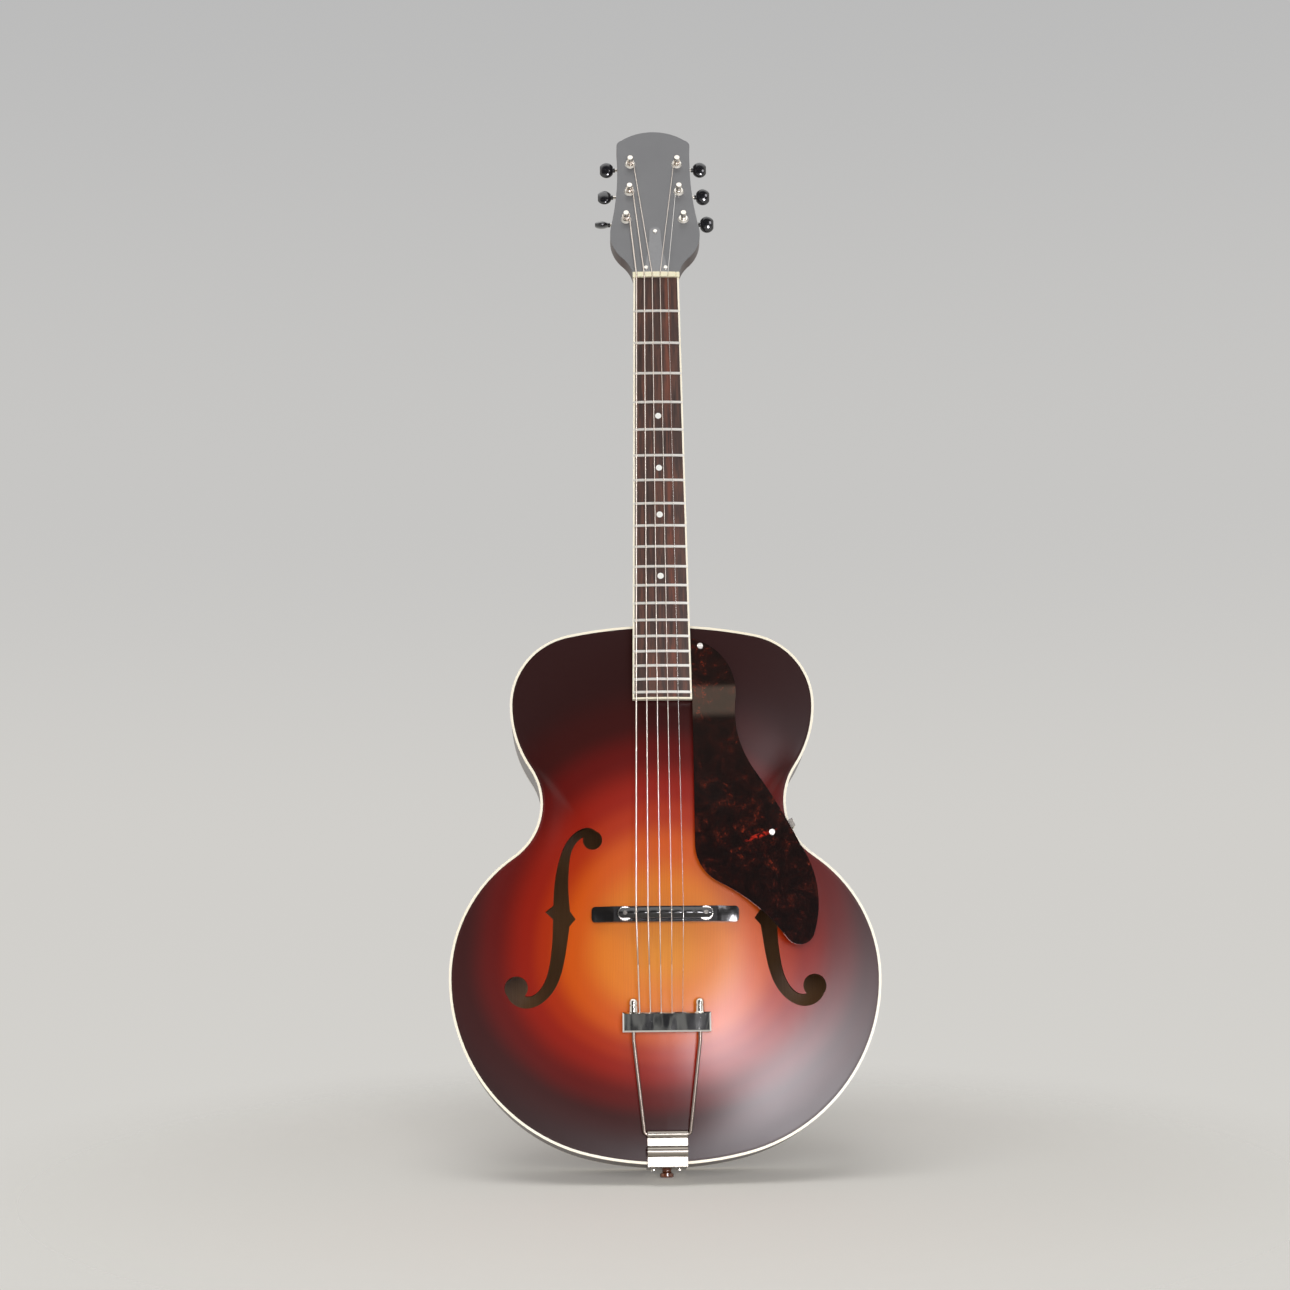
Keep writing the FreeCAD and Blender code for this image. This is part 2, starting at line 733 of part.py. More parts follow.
def neck():
    join = fret_distance(JOIN_FRET) + JOIN_OVERHANG
    middle_depth = (NECK_DEPTH_NUT + NECK_DEPTH_HEEL) / 2
    shaft = Part.makeLoft([neck_section(-NUT_T * 2, NECK_DEPTH_NUT),
                           neck_section(join / 2, middle_depth),
                           neck_section(join, NECK_DEPTH_HEEL)], True)
    nut_room = box(-NUT_W, NUT_W, 0, BOARD_T, -NUT_T, NUT_T)
    head = placed(head_slab(VENEER_T, HEAD_T), HEAD_FRAME)
    wood = placed(shaft, NECK_FRAME).cut(head_front_room())
    wood = wood.multiFuse([head, heel(), tongue()])
    wood = wood.cut(body_room()).fuse(neck_tenon(0))
    wood = wood.cut(placed(nut_room, NECK_FRAME))
    wood = wood.cut(placed(rod_pocket(), NECK_FRAME)).cut(placed(rod_channel(), NECK_FRAME))
    wood = wood.cut(placed(bush_holes(), HEAD_FRAME)).cut(placed(head_screw_holes(), HEAD_FRAME))
    return wood.removeSplitter()


def head_front_room():
    """Space in front of the headstock's glue face."""
    return placed(box(-NUT_W, NUT_W, -HEAD_T * 2, VENEER_T, 0, HEAD_L), HEAD_FRAME)


def headstock_veneer():
    skin = head_slab(0, VENEER_T)
    pocket = placed(placed(rod_pocket(), NECK_FRAME), HEAD_FRAME.inverse())
    skin = skin.cut(pocket).cut(bush_holes()).cut(head_screw_holes())
    return placed(skin, HEAD_FRAME)


def heel_cap():
    cap = Part.Face(heel_section(BACK - HEEL_CAP_T, HEEL_W, HEEL_L)).extrude(V(0, HEEL_CAP_T, 0))
    return cap.cut(body_room())


def truss_rod():
    low = rod_axis(-fret_distance(JOIN_FRET) + LOOSE)
    return placed(rod(low, rod_axis(POCKET_Z1 - ROD_END_GAP), ROD_R), NECK_FRAME)


def truss_rod_nut():
    """Hexagonal nut on the rod's end."""
    corners = []
    for i in range(ROD_NUT_SIDES):
        angle = 2 * math.pi * i / ROD_NUT_SIDES
        corners.append(V(ROD_NUT_R * math.cos(angle), ROD_DEPTH + ROD_NUT_R * math.sin(angle),
                         POCKET_Z0 + ROD_NUT_GAP))
    blank = Part.Face(Part.makePolygon(corners + corners[:1])).extrude(V(0, 0, ROD_NUT_L))
    return placed(blank.cut(rod(rod_axis(0), rod_axis(POCKET_Z1), ROD_R + RUN_FIT)), NECK_FRAME)


def cover_screw_places():
    return [V(0, 0, COVER_L - COVER_TIP_R), V(-COVER_SCREW_X, 0, COVER_SCREW_Z),
            V(COVER_SCREW_X, 0, COVER_SCREW_Z)]


def truss_rod_cover():
    """Bell-shaped plate screwed over the pocket."""
    half, low = COVER_W / 2, COVER_EDGE
    tip = V(0, -COVER_T, COVER_L)
    left, right = V(-half, -COVER_T, low), V(half, -COVER_T, low)
    shoulder_z = COVER_L - COVER_TIP_R
    up_left = V(-COVER_TIP_R, -COVER_T, shoulder_z)
    up_right = V(COVER_TIP_R, -COVER_T, shoulder_z)
    bow = V(COVER_BOW_W / 2, -COVER_T, COVER_BOW_Z)
    edges = [Part.makeLine(left, right), arc_edge(right, bow, up_right), arc_edge(up_right, tip, up_left),
             arc_edge(up_left, V(-bow.x, bow.y, bow.z), left)]
    plate = Part.Face(Part.Wire(edges)).extrude(V(0, COVER_T, 0))
    for place in cover_screw_places():
        plate = plate.cut(rod(place.sub(V(0, HEAD_T, 0)), place.add(V(0, HEAD_T, 0)), SCREW_R + JOINT_GAP))
    return placed(plate, HEAD_FRAME)


def nut():
    half = NUT_W / 2
    blank = box(-half, half, -NUT_ABOVE, BOARD_T, 0, NUT_T)
    blank = blank.common(crown_cylinder(NUT_ABOVE))
    blank = blank.cut(placed(head_slab(-HEAD_T, HEAD_T), NECK_FRAME.inverse().multiply(HEAD_FRAME)))
    blank = placed(blank, NECK_FRAME)
    for index in range(COURSES):
        blank = blank.cut(nut_slot(index))
    return blank


def nut_slot(index):
    """Flat-bottomed slot along the string's own bend, open to the front."""
    half = STRING_D[index] / 2 + SLOT_PLAY
    saddle, knee, first = string_knees(index)
    front = NECK_FRAME.Rotation.multVec(V(0, -1, 0))
    floor = knee.sub(V(front).multiply(half))
    halves = []
    for target in (saddle, first):
        way = target.sub(knee).normalize()
        across = way.cross(front).normalize().multiply(half)
        end = floor.add(V(way).multiply(NUT_T * 2))
        start = floor.sub(V(way).multiply(SLOT_PLAY))
        corners = [start.add(across), start.sub(across), end.sub(across), end.add(across)]
        slab = Part.Face(Part.makePolygon(corners + corners[:1])).extrude(V(front).multiply(NUT_ABOVE * 2))
        halves.append(slab)
    return halves[0].fuse(halves[1])


# Screws with a slotted pan head
def screw(seat, inward, length, head_r):
    """Head stands on seat, shank runs along inward."""
    back = V(inward).multiply(-SCREW_HEAD_T)
    head = Part.makeCylinder(head_r, SCREW_HEAD_T, seat.add(back), inward)
    shank = Part.makeCylinder(SCREW_R, length, seat, inward)
    slot = Part.makeBox(head_r * 4, SCREW_SLOT, SCREW_HEAD_T)
    slot.translate(V(-head_r * 2, -SCREW_SLOT / 2, 0))
    turn = FreeCAD.Rotation(V(0, 0, 1), V(inward).multiply(-1))
    depth = SCREW_HEAD_T / 2
    slot = placed(slot, FreeCAD.Placement(seat.add(V(inward).multiply(-depth)), turn))
    return head.fuse(shank).cut(slot)


def head_screw_holes():
    holes = []
    for place in cover_screw_places():
        holes.append(rod(place, place.add(V(0, HEAD_T / 2 + LOOSE, 0)), SCREW_R + JOINT_GAP))
    for place in plate_screw_places():
        holes.append(rod(place.sub(V(0, HEAD_T / 2 + LOOSE, 0)), place, SCREW_R + JOINT_GAP))
    return holes[0].multiFuse(holes[1:])


def headstock_screws():
    made = []
    for place in cover_screw_places():
        made.append(screw(place.sub(V(0, COVER_T, 0)), V(0, 1, 0), HEAD_T / 2, SMALL_HEAD_R))
    for place in plate_screw_places():
        made.append(screw(place.add(V(0, PLATE_T, 0)), V(0, -1, 0), HEAD_T / 2, SMALL_HEAD_R))
    return grouped([placed(one, HEAD_FRAME) for one in made])


# Tuning machines, in the headstock's frame; index 0 to 2 bass side upwards, 3 to 5 treble
def post_places():
    return [V(side * x, 0, z) for side in (-1, 1) for x, z in zip(POST_X, POST_Z)]


def plate_screw_places():
    reach = PLATE_L / 2 - SCREW_HEAD_R - LOOSE
    places = []
    for post in post_places():
        middle = post.add(V(0, HEAD_T, WORM_OFFSET / 2))
        places += [middle.add(V(0, 0, -reach)), middle.add(V(0, 0, reach))]
    return places


def gear_y():
    return HEAD_T + PLATE_T + GEAR_LIFT + GEAR_T / 2


def worm_axis(post, x):
    return V(x, gear_y(), post.z + WORM_OFFSET)


def tuner_plates():
    made = []
    for post in post_places():
        low = post.z + WORM_OFFSET / 2 - PLATE_L / 2
        plate = box(post.x - PLATE_W / 2, post.x + PLATE_W / 2, HEAD_T, HEAD_T + PLATE_T, low, low + PLATE_L)
        for side in (-1, 1):
            inner = post.x + side * EAR_GAP / 2
            outer = inner + side * EAR_T
            ear = box(min(inner, outer), max(inner, outer), HEAD_T, gear_y() + EAR_HALF,
                      post.z + WORM_OFFSET - EAR_HALF, post.z + WORM_OFFSET + EAR_HALF)
            plate = plate.fuse(ear)
        reach = PLATE_W
        plate = plate.cut(rod(worm_axis(post, post.x - reach), worm_axis(post, post.x + reach),
                              WORM_SHAFT_R + RUN_FIT))
        plate = plate.cut(rod(post, post.add(V(0, HEAD_T * 2, 0)), POST_R + RUN_FIT))
        made.append(plate)
    screws = plate_screw_places()
    for i, place in enumerate(screws):
        hole = rod(place, place.add(V(0, HEAD_T, 0)), SCREW_R + JOINT_GAP)
        made[i // 2] = made[i // 2].cut(hole)
    return grouped([placed(plate, HEAD_FRAME) for plate in made])


def tuner_bushings():
    made = []
    for post in post_places():
        flange = Part.makeCone(BUSH_R, BUSH_FACE_R, BUSH_T, post, V(0, -1, 0))
        sleeve = rod(post, post.add(V(0, BUSH_L, 0)), BUSH_SLEEVE_R)
        bore = rod(post.sub(V(0, BUSH_T * 2, 0)), post.add(V(0, BUSH_L * 2, 0)), POST_R + RUN_FIT)
        made.append(placed(flange.fuse(sleeve).cut(bore), HEAD_FRAME))
    return grouped(made)


def tuner_post(post):
    """String post with a waisted top, the gear on its back end and the gear's screw."""
    def up(y):
        return post.add(V(0, y, 0))

    gear_front = HEAD_T + PLATE_T + GEAR_LIFT
    gear_back = gear_front + GEAR_T
    neck_top = -POST_REACH + POST_CAP_L
    shaft = rod(up(-BUSH_T), up(gear_front), POST_R)
    spindle = rod(up(neck_top), up(gear_back), POST_NECK_R)
    cap = Part.makeCone(POST_CAP_R, POST_CAP_TOP_R, POST_CAP_L, up(neck_top), V(0, -1, 0))
    across = V(POST_R * 2, 0, 0)
    hole = up((neck_top - BUSH_T) / 2)
    turned = shaft.multiFuse([spindle, cap]).cut(rod(hole.sub(across), hole.add(across), STRING_D[0] / 2))
    turned = turned.cut(rod(up(gear_front), up(gear_back + GEAR_T), SCREW_R + SEAT)).removeSplitter()
    gear = gear_blank(post, gear_front).cut(rod(up(gear_front), up(gear_back), POST_NECK_R + SEAT))
    holder = screw(up(gear_back + SEAT), V(0, -1, 0), GEAR_T / 2, SCREW_HEAD_R)
    return grouped([placed(one, HEAD_FRAME) for one in (turned, gear, holder)])


def gear_blank(post, front):
    """Spur wheel with a tooth facing the worm."""
    corners = []
    for tooth in range(GEAR_TEETH):
        turn = math.pi / 2 + tooth * 2 * math.pi / GEAR_TEETH
        for radius, width in ((GEAR_ROOT_R, -GEAR_ROOT_W), (GEAR_TIP_R, -GEAR_TIP_W),
                              (GEAR_TIP_R, GEAR_TIP_W), (GEAR_ROOT_R, GEAR_ROOT_W)):
            angle = turn + width / 2 / radius
            corners.append(V(post.x + radius * math.cos(angle), front, post.z + radius * math.sin(angle)))
    return Part.Face(Part.makePolygon(corners + corners[:1])).extrude(V(0, GEAR_T, 0))


def button_side(post):
    return 1 if post.x > 0 else -1


def head_edge_x(z):
    """Half width of the headstock at a height, along its straight upper sides."""
    share = (HEAD_WAIST_Z - z) / (HEAD_WAIST_Z - HEAD_CHEEK_Z)
    return HEAD_WAIST_W / 2 + (HEAD_CHEEK_W - HEAD_WAIST_W) / 2 * max(share, 0)


def button_start(post):
    return button_side(post) * (head_edge_x(post.z + WORM_OFFSET) + BUTTON_GAP)


def tuner_worm(post):
    """Shaft with a helical thread between the plate's ears."""
    side = button_side(post)
    inner = worm_axis(post, post.x - side * (EAR_GAP / 2 + EAR_T + LOOSE))
    outer = worm_axis(post, button_start(post) + side * BUTTON_L / 2)
    shaft = rod(inner, outer, WORM_SHAFT_R)
    core_half = EAR_GAP / 2 - LOOSE
    core = rod(worm_axis(post, post.x - core_half), worm_axis(post, post.x + core_half), WORM_CORE_R)
    lead = 2 * math.pi * GEAR_PITCH_R / GEAR_TEETH
    middle = worm_axis(post, post.x)

    def turn_point(turns):
        angle = 2 * math.pi * turns
        return middle.add(V(lead * turns, -WORM_CORE_R * math.sin(angle), WORM_CORE_R * math.cos(angle)))

    def turn_way(turns):
        angle = 2 * math.pi * turns
        around = 2 * math.pi * WORM_CORE_R
        return V(lead, -around * math.cos(angle), -around * math.sin(angle)).normalize()

    quarters = [-WORM_TURNS / 2 + i / 4 for i in range(WORM_TURNS * 4 + 1)]
    stations = [(turn_point(t), turn_way(t)) for t in quarters]
    thread = tube(biarc_edges(stations), WORM_THREAD_R)
    return placed(shaft.fuse(core).fuse(thread), HEAD_FRAME)


def tuner_button(post, turn):
    """Oval knob with a short ferrule, bored for the shaft."""
    side = button_side(post)
    start = worm_axis(post, button_start(post))
    middle = start.add(V(side * BUTTON_L / 2, 0, 0))
    half_l, half_w, foot = BUTTON_L / 2, BUTTON_W / 2, BUTTON_FOOT_W / 2
    bow = arc_edge(V(-half_l, foot, 0), V(0, half_w, 0), V(half_l, foot, 0))
    corners = [V(half_l, foot, 0), V(half_l, 0, 0), V(-half_l, 0, 0), V(-half_l, foot, 0)]
    sides = Part.makePolygon(corners).Edges
    round_knob = Part.Face(Part.Wire([bow] + sides)).revolve(V(0, 0, 0), V(1, 0, 0), 360)
    flatten = FreeCAD.Matrix()
    flatten.scale(1, BUTTON_T / BUTTON_W, 1)
    knob = round_knob.transformGeometry(flatten)
    knob.translate(middle)
    knob = knob.fuse(rod(start.sub(V(side * BUTTON_GAP / 2, 0, 0)), middle, FERRULE_R))
    bore_end = middle.add(V(side * SEAT, 0, 0))
    knob = knob.cut(rod(start.sub(V(side * BUTTON_L, 0, 0)), bore_end, WORM_SHAFT_R + SEAT))
    knob.rotate(middle, V(1, 0, 0), turn)
    return placed(knob, HEAD_FRAME)


# Tubes along tangent arcs
def biarc_edges(stations):
    """Two tangent arcs between each pair of (point, direction) stations."""
    edges = []
    for (p0, t0), (p1, t1) in zip(stations, stations[1:]):
        across = p1.sub(p0)
        lead = across.dot(t0.add(t1))
        bend = 2 * (1 - t0.dot(t1))
        reach = (-lead + math.sqrt(lead ** 2 + bend * across.dot(across))) / bend
        knee0, knee1 = p0.add(V(t0).multiply(reach)), p1.sub(V(t1).multiply(reach))
        joint = knee0.add(knee1).multiply(0.5)
        edges += [corner_arc(p0, knee0, joint), corner_arc(joint, knee1, p1)]
    return edges


def corner_arc(start, knee, end):
    """Arc that is tangent to start-knee and to knee-end, two legs of equal length."""
    middle = start.add(end).multiply(0.5)
    lift = knee.sub(middle)
    half_chord = end.sub(start).Length / 2
    sag = half_chord * math.tan(math.atan2(lift.Length, half_chord) / 2)
    return arc_edge(start, middle.add(V(lift).normalize().multiply(sag)), end)


def rounded_path(points, radius):
    """Straight runs joined by arcs of one radius."""
    edges, start = [], points[0]
    for before, corner, after in zip(points, points[1:], points[2:]):
        back = before.sub(corner).normalize()
        on = after.sub(corner).normalize()
        half_turn = math.acos(max(-1, min(1, -back.dot(on)))) / 2
        cut = radius * math.tan(half_turn)
        enter, leave = corner.add(V(back).multiply(cut)), corner.add(V(on).multiply(cut))
        edges += [Part.makeLine(start, enter), corner_arc(enter, corner, leave)]
        start = leave
    edges.append(Part.makeLine(start, points[-1]))
    return edges


def tube(edges, radius):
    path = Part.Wire(edges)
    first = edges[0]
    begin = first.FirstParameter
    start, way = first.valueAt(begin), first.tangentAt(begin)
    ring = Part.Wire(Part.makeCircle(radius, start, way))
    return path.makePipeShell([ring], True, False)


# Strings
def course_x(index, spread):
    return -spread / 2 + spread * index / (COURSES - 1)


def nut_string_y(index):
    """Centre of the string over the fingerboard's plane, in the neck's frame."""
    x = course_x(index, NUT_SPREAD)
    radius = STRING_D[index] / 2
    return x ** 2 / (2 * BOARD_R) - FRET_H - SLOT_LIFT - radius


def saddle_string_y(index):
    x = course_x(index, SADDLE_SPREAD)
    return CROWN_Y + x ** 2 / (2 * BOARD_R)


def string_post(index):
    """Posts are filled from the nut upwards on the bass side and downwards on the treble side."""
    places = post_places()
    return places[index] if index < 3 else places[8 - index]


def string_anchor(index):
    x = course_x(index, BAR_SPREAD)
    return V(x, FRONT - BAR_FRONT + BAR_DEPTH / 2, BAR_TOP_Z - BAR_WALL - SEAT)


def nut_knee(index):
    """Where the string bends over the middle of the nut, in the part's frame."""
    return NECK_FRAME.multVec(V(course_x(index, NUT_SPREAD), nut_string_y(index), NUT_T / 2))


def string_stations(index):
    """Helix stations on the post, from the point where the string first meets it."""
    post, diameter = string_post(index), STRING_D[index]
    turn_sign = -button_side(post)
    knee = HEAD_FRAME.inverse().multVec(nut_knee(index))
    radius = POST_NECK_R + diameter / 2 + LOOSE
    low = -BUSH_T - LOOSE - diameter / 2
    dx, dz = knee.x - post.x, knee.z - post.z
    begin = math.atan2(dz, dx) + turn_sign * math.acos(radius / math.hypot(dx, dz))
    climb = diameter + WIND_SPACE
    stations = []
    for quarter in range(WIND_TURNS * 4 + 1):
        angle = begin + turn_sign * quarter * math.pi / 2
        rise = climb * quarter / 4
        point = V(post.x + radius * math.cos(angle), low - rise, post.z + radius * math.sin(angle))
        way = V(-turn_sign * math.sin(angle), -climb / (2 * math.pi * radius), turn_sign * math.cos(angle))
        stations.append((HEAD_FRAME.multVec(point), HEAD_FRAME.Rotation.multVec(way).normalize()))
    return stations


def string_knees(index):
    """Saddle, nut and the first point on the post."""
    saddle = V(course_x(index, SADDLE_SPREAD), saddle_string_y(index), BRIDGE_Z)
    return saddle, nut_knee(index), string_stations(index)[0][0]


def string_tube(index):
    """One unbroken wire: ball end, over the saddle and the nut, then wound on its post."""
    radius, anchor = STRING_D[index] / 2, string_anchor(index)
    edges = rounded_path([anchor, *string_knees(index)], BEND_R)
    wound = string_stations(index)
    run = edges[-1]
    wound[0] = (wound[0][0], run.tangentAt(run.LastParameter))
    edges += biarc_edges(wound)
    end, way = wound[-1]
    edges.append(Part.makeLine(end, end.add(V(way).multiply(2 * radius))))
    print("string", index + 1, "least gap in the winding", round(winding_gap(wound, radius), 3))
    ball = Part.makeCylinder(BALL_R, BALL_L, anchor.add(V(0, 0, -BALL_L)), V(0, 0, 1))
    return tube(edges, radius).fuse(ball)


def winding_gap(stations, radius):
    """Least distance between turns, measured on points along the winding."""
    points = []
    for edge in biarc_edges(stations):
        points += edge.discretize(9)[:-1]
    turn = len(points) * 4 // (len(stations) - 1)
    least = min(a.sub(b).Length for i, a in enumerate(points) for b in points[i + turn // 2:])
    return least - 2 * radius


# Bridge: base scribed to the arch, two studs with thumbwheels, and the saddle on them
def stud_places():
    return [side * STUD_SPACING / 2 for side in (-1, 1)]


def stud(x, y0, y1, radius):
    return rod(V(x, y1, BRIDGE_Z), V(x, y0, BRIDGE_Z), radius)


BASE_TOP = ARCH_TOP - BASE_H
WHEEL_FACE = BASE_TOP - WHEEL_GAP
SADDLE_FOOT = WHEEL_FACE - WHEEL_T - JOINT_GAP


def rounded_bar(length, width, end_radius, front, rear):
    """Bar across the bridge line with its four upright edges rounded."""
    bar = box(-length / 2, length / 2, front, rear, BRIDGE_Z - width / 2, BRIDGE_Z + width / 2)
    upright = [e for e in bar.Edges if e.BoundBox.YLength > SEAT]
    return bar.makeFillet(end_radius, upright)


def bridge_base():
    """Block with a wing scooped down to each end, fitted to the arch."""
    half, crown = BASE_L / 2, BASE_CROWN_L / 2
    wing, foot, low = ARCH_TOP - BASE_WING_H, FRONT - LOOSE, BRIDGE_Z - BASE_W
    dip = (wing + BASE_TOP) / 2 + BASE_SCOOP
    under = [V(-half, wing, low), V(-half, foot, low), V(half, foot, low), V(half, wing, low)]
    edges = Part.makePolygon(under).Edges
    edges.append(arc_edge(V(half, wing, low), V((half + crown) / 2, dip, low), V(crown, BASE_TOP, low)))
    edges.append(Part.makeLine(V(crown, BASE_TOP, low), V(-crown, BASE_TOP, low)))
    edges.append(arc_edge(V(-crown, BASE_TOP, low), V(-(half + crown) / 2, dip, low), V(-half, wing, low)))
    blank = Part.Face(Part.Wire(edges)).extrude(V(0, 0, BASE_W * 2))
    blank = blank.common(rounded_bar(BASE_L, BASE_W, BASE_END_R, BASE_TOP, foot))
    blank = blank.cut(arch_dome(FRONT - JOINT_GAP, TOP_RISE, 1.0))
    relief = box(-BASE_RELIEF_L / 2, BASE_RELIEF_L / 2, ARCH_TOP - BASE_RELIEF_H, FRONT,
                 BRIDGE_Z - BASE_W, BRIDGE_Z + BASE_W)
    blank = blank.cut(relief)
    for x in stud_places():
        blank = blank.cut(stud(x, BASE_TOP - STUD_SEAT, BASE_TOP + STUD_SEAT, STUD_R + SEAT))
    return blank


def bridge_posts():
    top = CROWN_Y + STUD_SPACING ** 2 / (8 * BOARD_R) + LOOSE
    return grouped([stud(x, top, BASE_TOP + STUD_SEAT - LOOSE, STUD_R) for x in stud_places()])


def thumbwheel(x):
    wheel = stud(x, WHEEL_FACE - WHEEL_T, WHEEL_FACE, WHEEL_R)
    notches = []
    for i in range(WHEEL_NOTCHES):
        angle = 2 * math.pi * i / WHEEL_NOTCHES
        at = V(x + WHEEL_R * math.cos(angle), WHEEL_FACE + LOOSE, BRIDGE_Z + WHEEL_R * math.sin(angle))
        notches.append(Part.makeCylinder(WHEEL_NOTCH_R, WHEEL_T + 2 * LOOSE, at, V(0, -1, 0)))
    wheel = wheel.cut(notches[0].multiFuse(notches[1:]))
    return wheel.cut(stud(x, WHEEL_FACE - WHEEL_T * 2, WHEEL_FACE + WHEEL_T, STUD_R + RUN_FIT))


def saddle_crown():
    """Cambered top with a narrow ridge under the strings, falling away on both sides."""
    ridge, half, low = SADDLE_RIDGE / 2, SADDLE_W / 2, BOARD_R - SADDLE_FALL
    middle = V(0, CROWN_Y + BOARD_R, BRIDGE_Z)
    profile = [(0, -half), (low, -half), (BOARD_R, -ridge), (BOARD_R, ridge), (low, half), (0, half)]
    corners = [middle.add(V(0, -r, z)) for r, z in profile]
    face = Part.Face(Part.makePolygon(corners + corners[:1]))
    return face.revolve(middle, V(0, 0, 1), 360)


def bridge_saddle():
    blank = rounded_bar(SADDLE_L, SADDLE_W, SADDLE_END_R, CROWN_Y, SADDLE_FOOT)
    blank = blank.common(saddle_crown())
    for x in stud_places():
        blank = blank.cut(stud(x, CROWN_Y - STUD_SEAT, SADDLE_FOOT + STUD_SEAT, STUD_R + RUN_FIT))
    for index in range(COURSES):
        x, y = course_x(index, SADDLE_SPREAD), saddle_string_y(index)
        groove = rod(V(x, y, BRIDGE_Z - SADDLE_W), V(x, y, BRIDGE_Z + SADDLE_W), STRING_D[index] / 2 + LOOSE)
        blank = blank.cut(groove)
    return blank


# Tailpiece
def tail_plane():
    return FRONT - BRACKET_STANDOFF


def hinge_axis(x):
    return V(x, FRONT - HINGE_OUT, HINGE_Z)


def leg_y():
    return FRONT - BAR_FRONT + BAR_DEPTH / 2


def tailpiece_bracket():
    """Bent plate over the tail edge: rim plate, apron, bulge and rolled hinge barrel."""
    half, out = BRACKET_W / 2, tail_plane() - BRACKET_T
    foot_z = -LOOSE - BRACKET_T
    foot = box(-half, half, out, BRACKET_TAIL, foot_z, -LOOSE)
    apron = box(-half, half, out, tail_plane(), foot_z, BULGE_Z - BULGE_R + BRACKET_T)
    throat = box(-half, half, out, tail_plane(), BULGE_Z + BULGE_R - BRACKET_T, HINGE_Z - BARREL_R / 2)
    mid = V(-half, tail_plane() - BRACKET_T, BULGE_Z)
    ring = Part.makeCylinder(BULGE_R, BRACKET_W, mid, V(1, 0, 0))
    ring = ring.cut(Part.makeCylinder(BULGE_R - BRACKET_T, BRACKET_W, mid, V(1, 0, 0)))
    ring = ring.common(box(-half, half, mid.y - BULGE_R * 2, tail_plane(),
                           BULGE_Z - BULGE_R, BULGE_Z + BULGE_R))
    barrel = rod(hinge_axis(-half), hinge_axis(half), BARREL_R)
    bracket = foot.multiFuse([apron, throat, ring, barrel]).removeSplitter()
    bracket = bracket.cut(rod(hinge_axis(-BRACKET_W), hinge_axis(BRACKET_W), LEG_R + RUN_FIT))
    return bracket.cut(tail_holes())


def tailpiece_trapeze():
    """One bent wire: a leg, the hinge rod through the barrel, and the other leg."""
    top, bend = BAR_TOP_Z + CAP_L / 2, BAR_TOP_Z - LEG_STRAIGHT
    y = leg_y()
    points = [V(-LEG_X, y, top), V(-LEG_X, y, bend), hinge_axis(-HINGE_HALF),
              hinge_axis(HINGE_HALF), V(LEG_X, y, bend), V(LEG_X, y, top)]
    return tube(rounded_path(points, LEG_R * 2), LEG_R)


def tailpiece_crossbar():
    """Folded channel with bevelled edges, open towards the soundboard."""
    half, low = BAR_WIDTH / 2, BAR_TOP_Z - BAR_HEIGHT
    front = FRONT - BAR_FRONT
    rear = front + BAR_DEPTH
    channel = box(-half, half, front, rear, low, BAR_TOP_Z)
    edges = [e for e in channel.Edges if abs(e.CenterOfMass.y - front) < SEAT]
    channel = channel.makeChamfer(BAR_BEVEL, edges)
    channel = channel.cut(box(-half + BAR_WALL, half - BAR_WALL, front + BAR_WALL, rear,
                              low + BAR_WALL, BAR_TOP_Z - BAR_WALL))
    for side in (-1, 1):
        channel = channel.cut(rod(V(side * LEG_X, leg_y(), 0), V(side * LEG_X, leg_y(), BAR_TOP_Z * 2),
                                  LEG_R + JOINT_GAP))
    for index in range(COURSES):
        anchor = string_anchor(index)
        radius = STRING_D[index] / 2
        slot = box(anchor.x - radius - LOOSE, anchor.x + radius + LOOSE, anchor.y - radius - 2 * LOOSE, rear,
                   BAR_TOP_Z - BAR_WALL, BAR_TOP_Z)
        channel = channel.cut(slot)
    return channel


def tailpiece_cap_nuts():
    """Domed nuts on the wire's two ends."""
    made = []
    for side in (-1, 1):
        seat = V(side * LEG_X, leg_y(), BAR_TOP_Z + SEAT)
        body = Part.makeCylinder(CAP_R, CAP_L - CAP_R, seat, V(0, 0, 1))
        dome = Part.makeSphere(CAP_R, seat.add(V(0, 0, CAP_L - CAP_R)))
        groove = Part.makeTorus(CAP_R, CAP_GROOVE_R, seat.add(V(0, 0, CAP_GROOVE_Z)), V(0, 0, 1))
        bore = rod(V(seat.x, seat.y, 0), V(seat.x, seat.y, BAR_TOP_Z + CAP_L / 2 + SEAT), LEG_R + SEAT)
        made.append(body.fuse(dome).cut(groove).cut(bore))
    return grouped(made)


def bracket_screws():
    seat_z = -LOOSE - BRACKET_T
    made = []
    for place in tail_screw_places():
        made.append(screw(place.add(V(0, 0, seat_z)), V(0, 0, 1), TAIL_BLOCK_L / 2, SCREW_HEAD_R))
    return grouped(made)


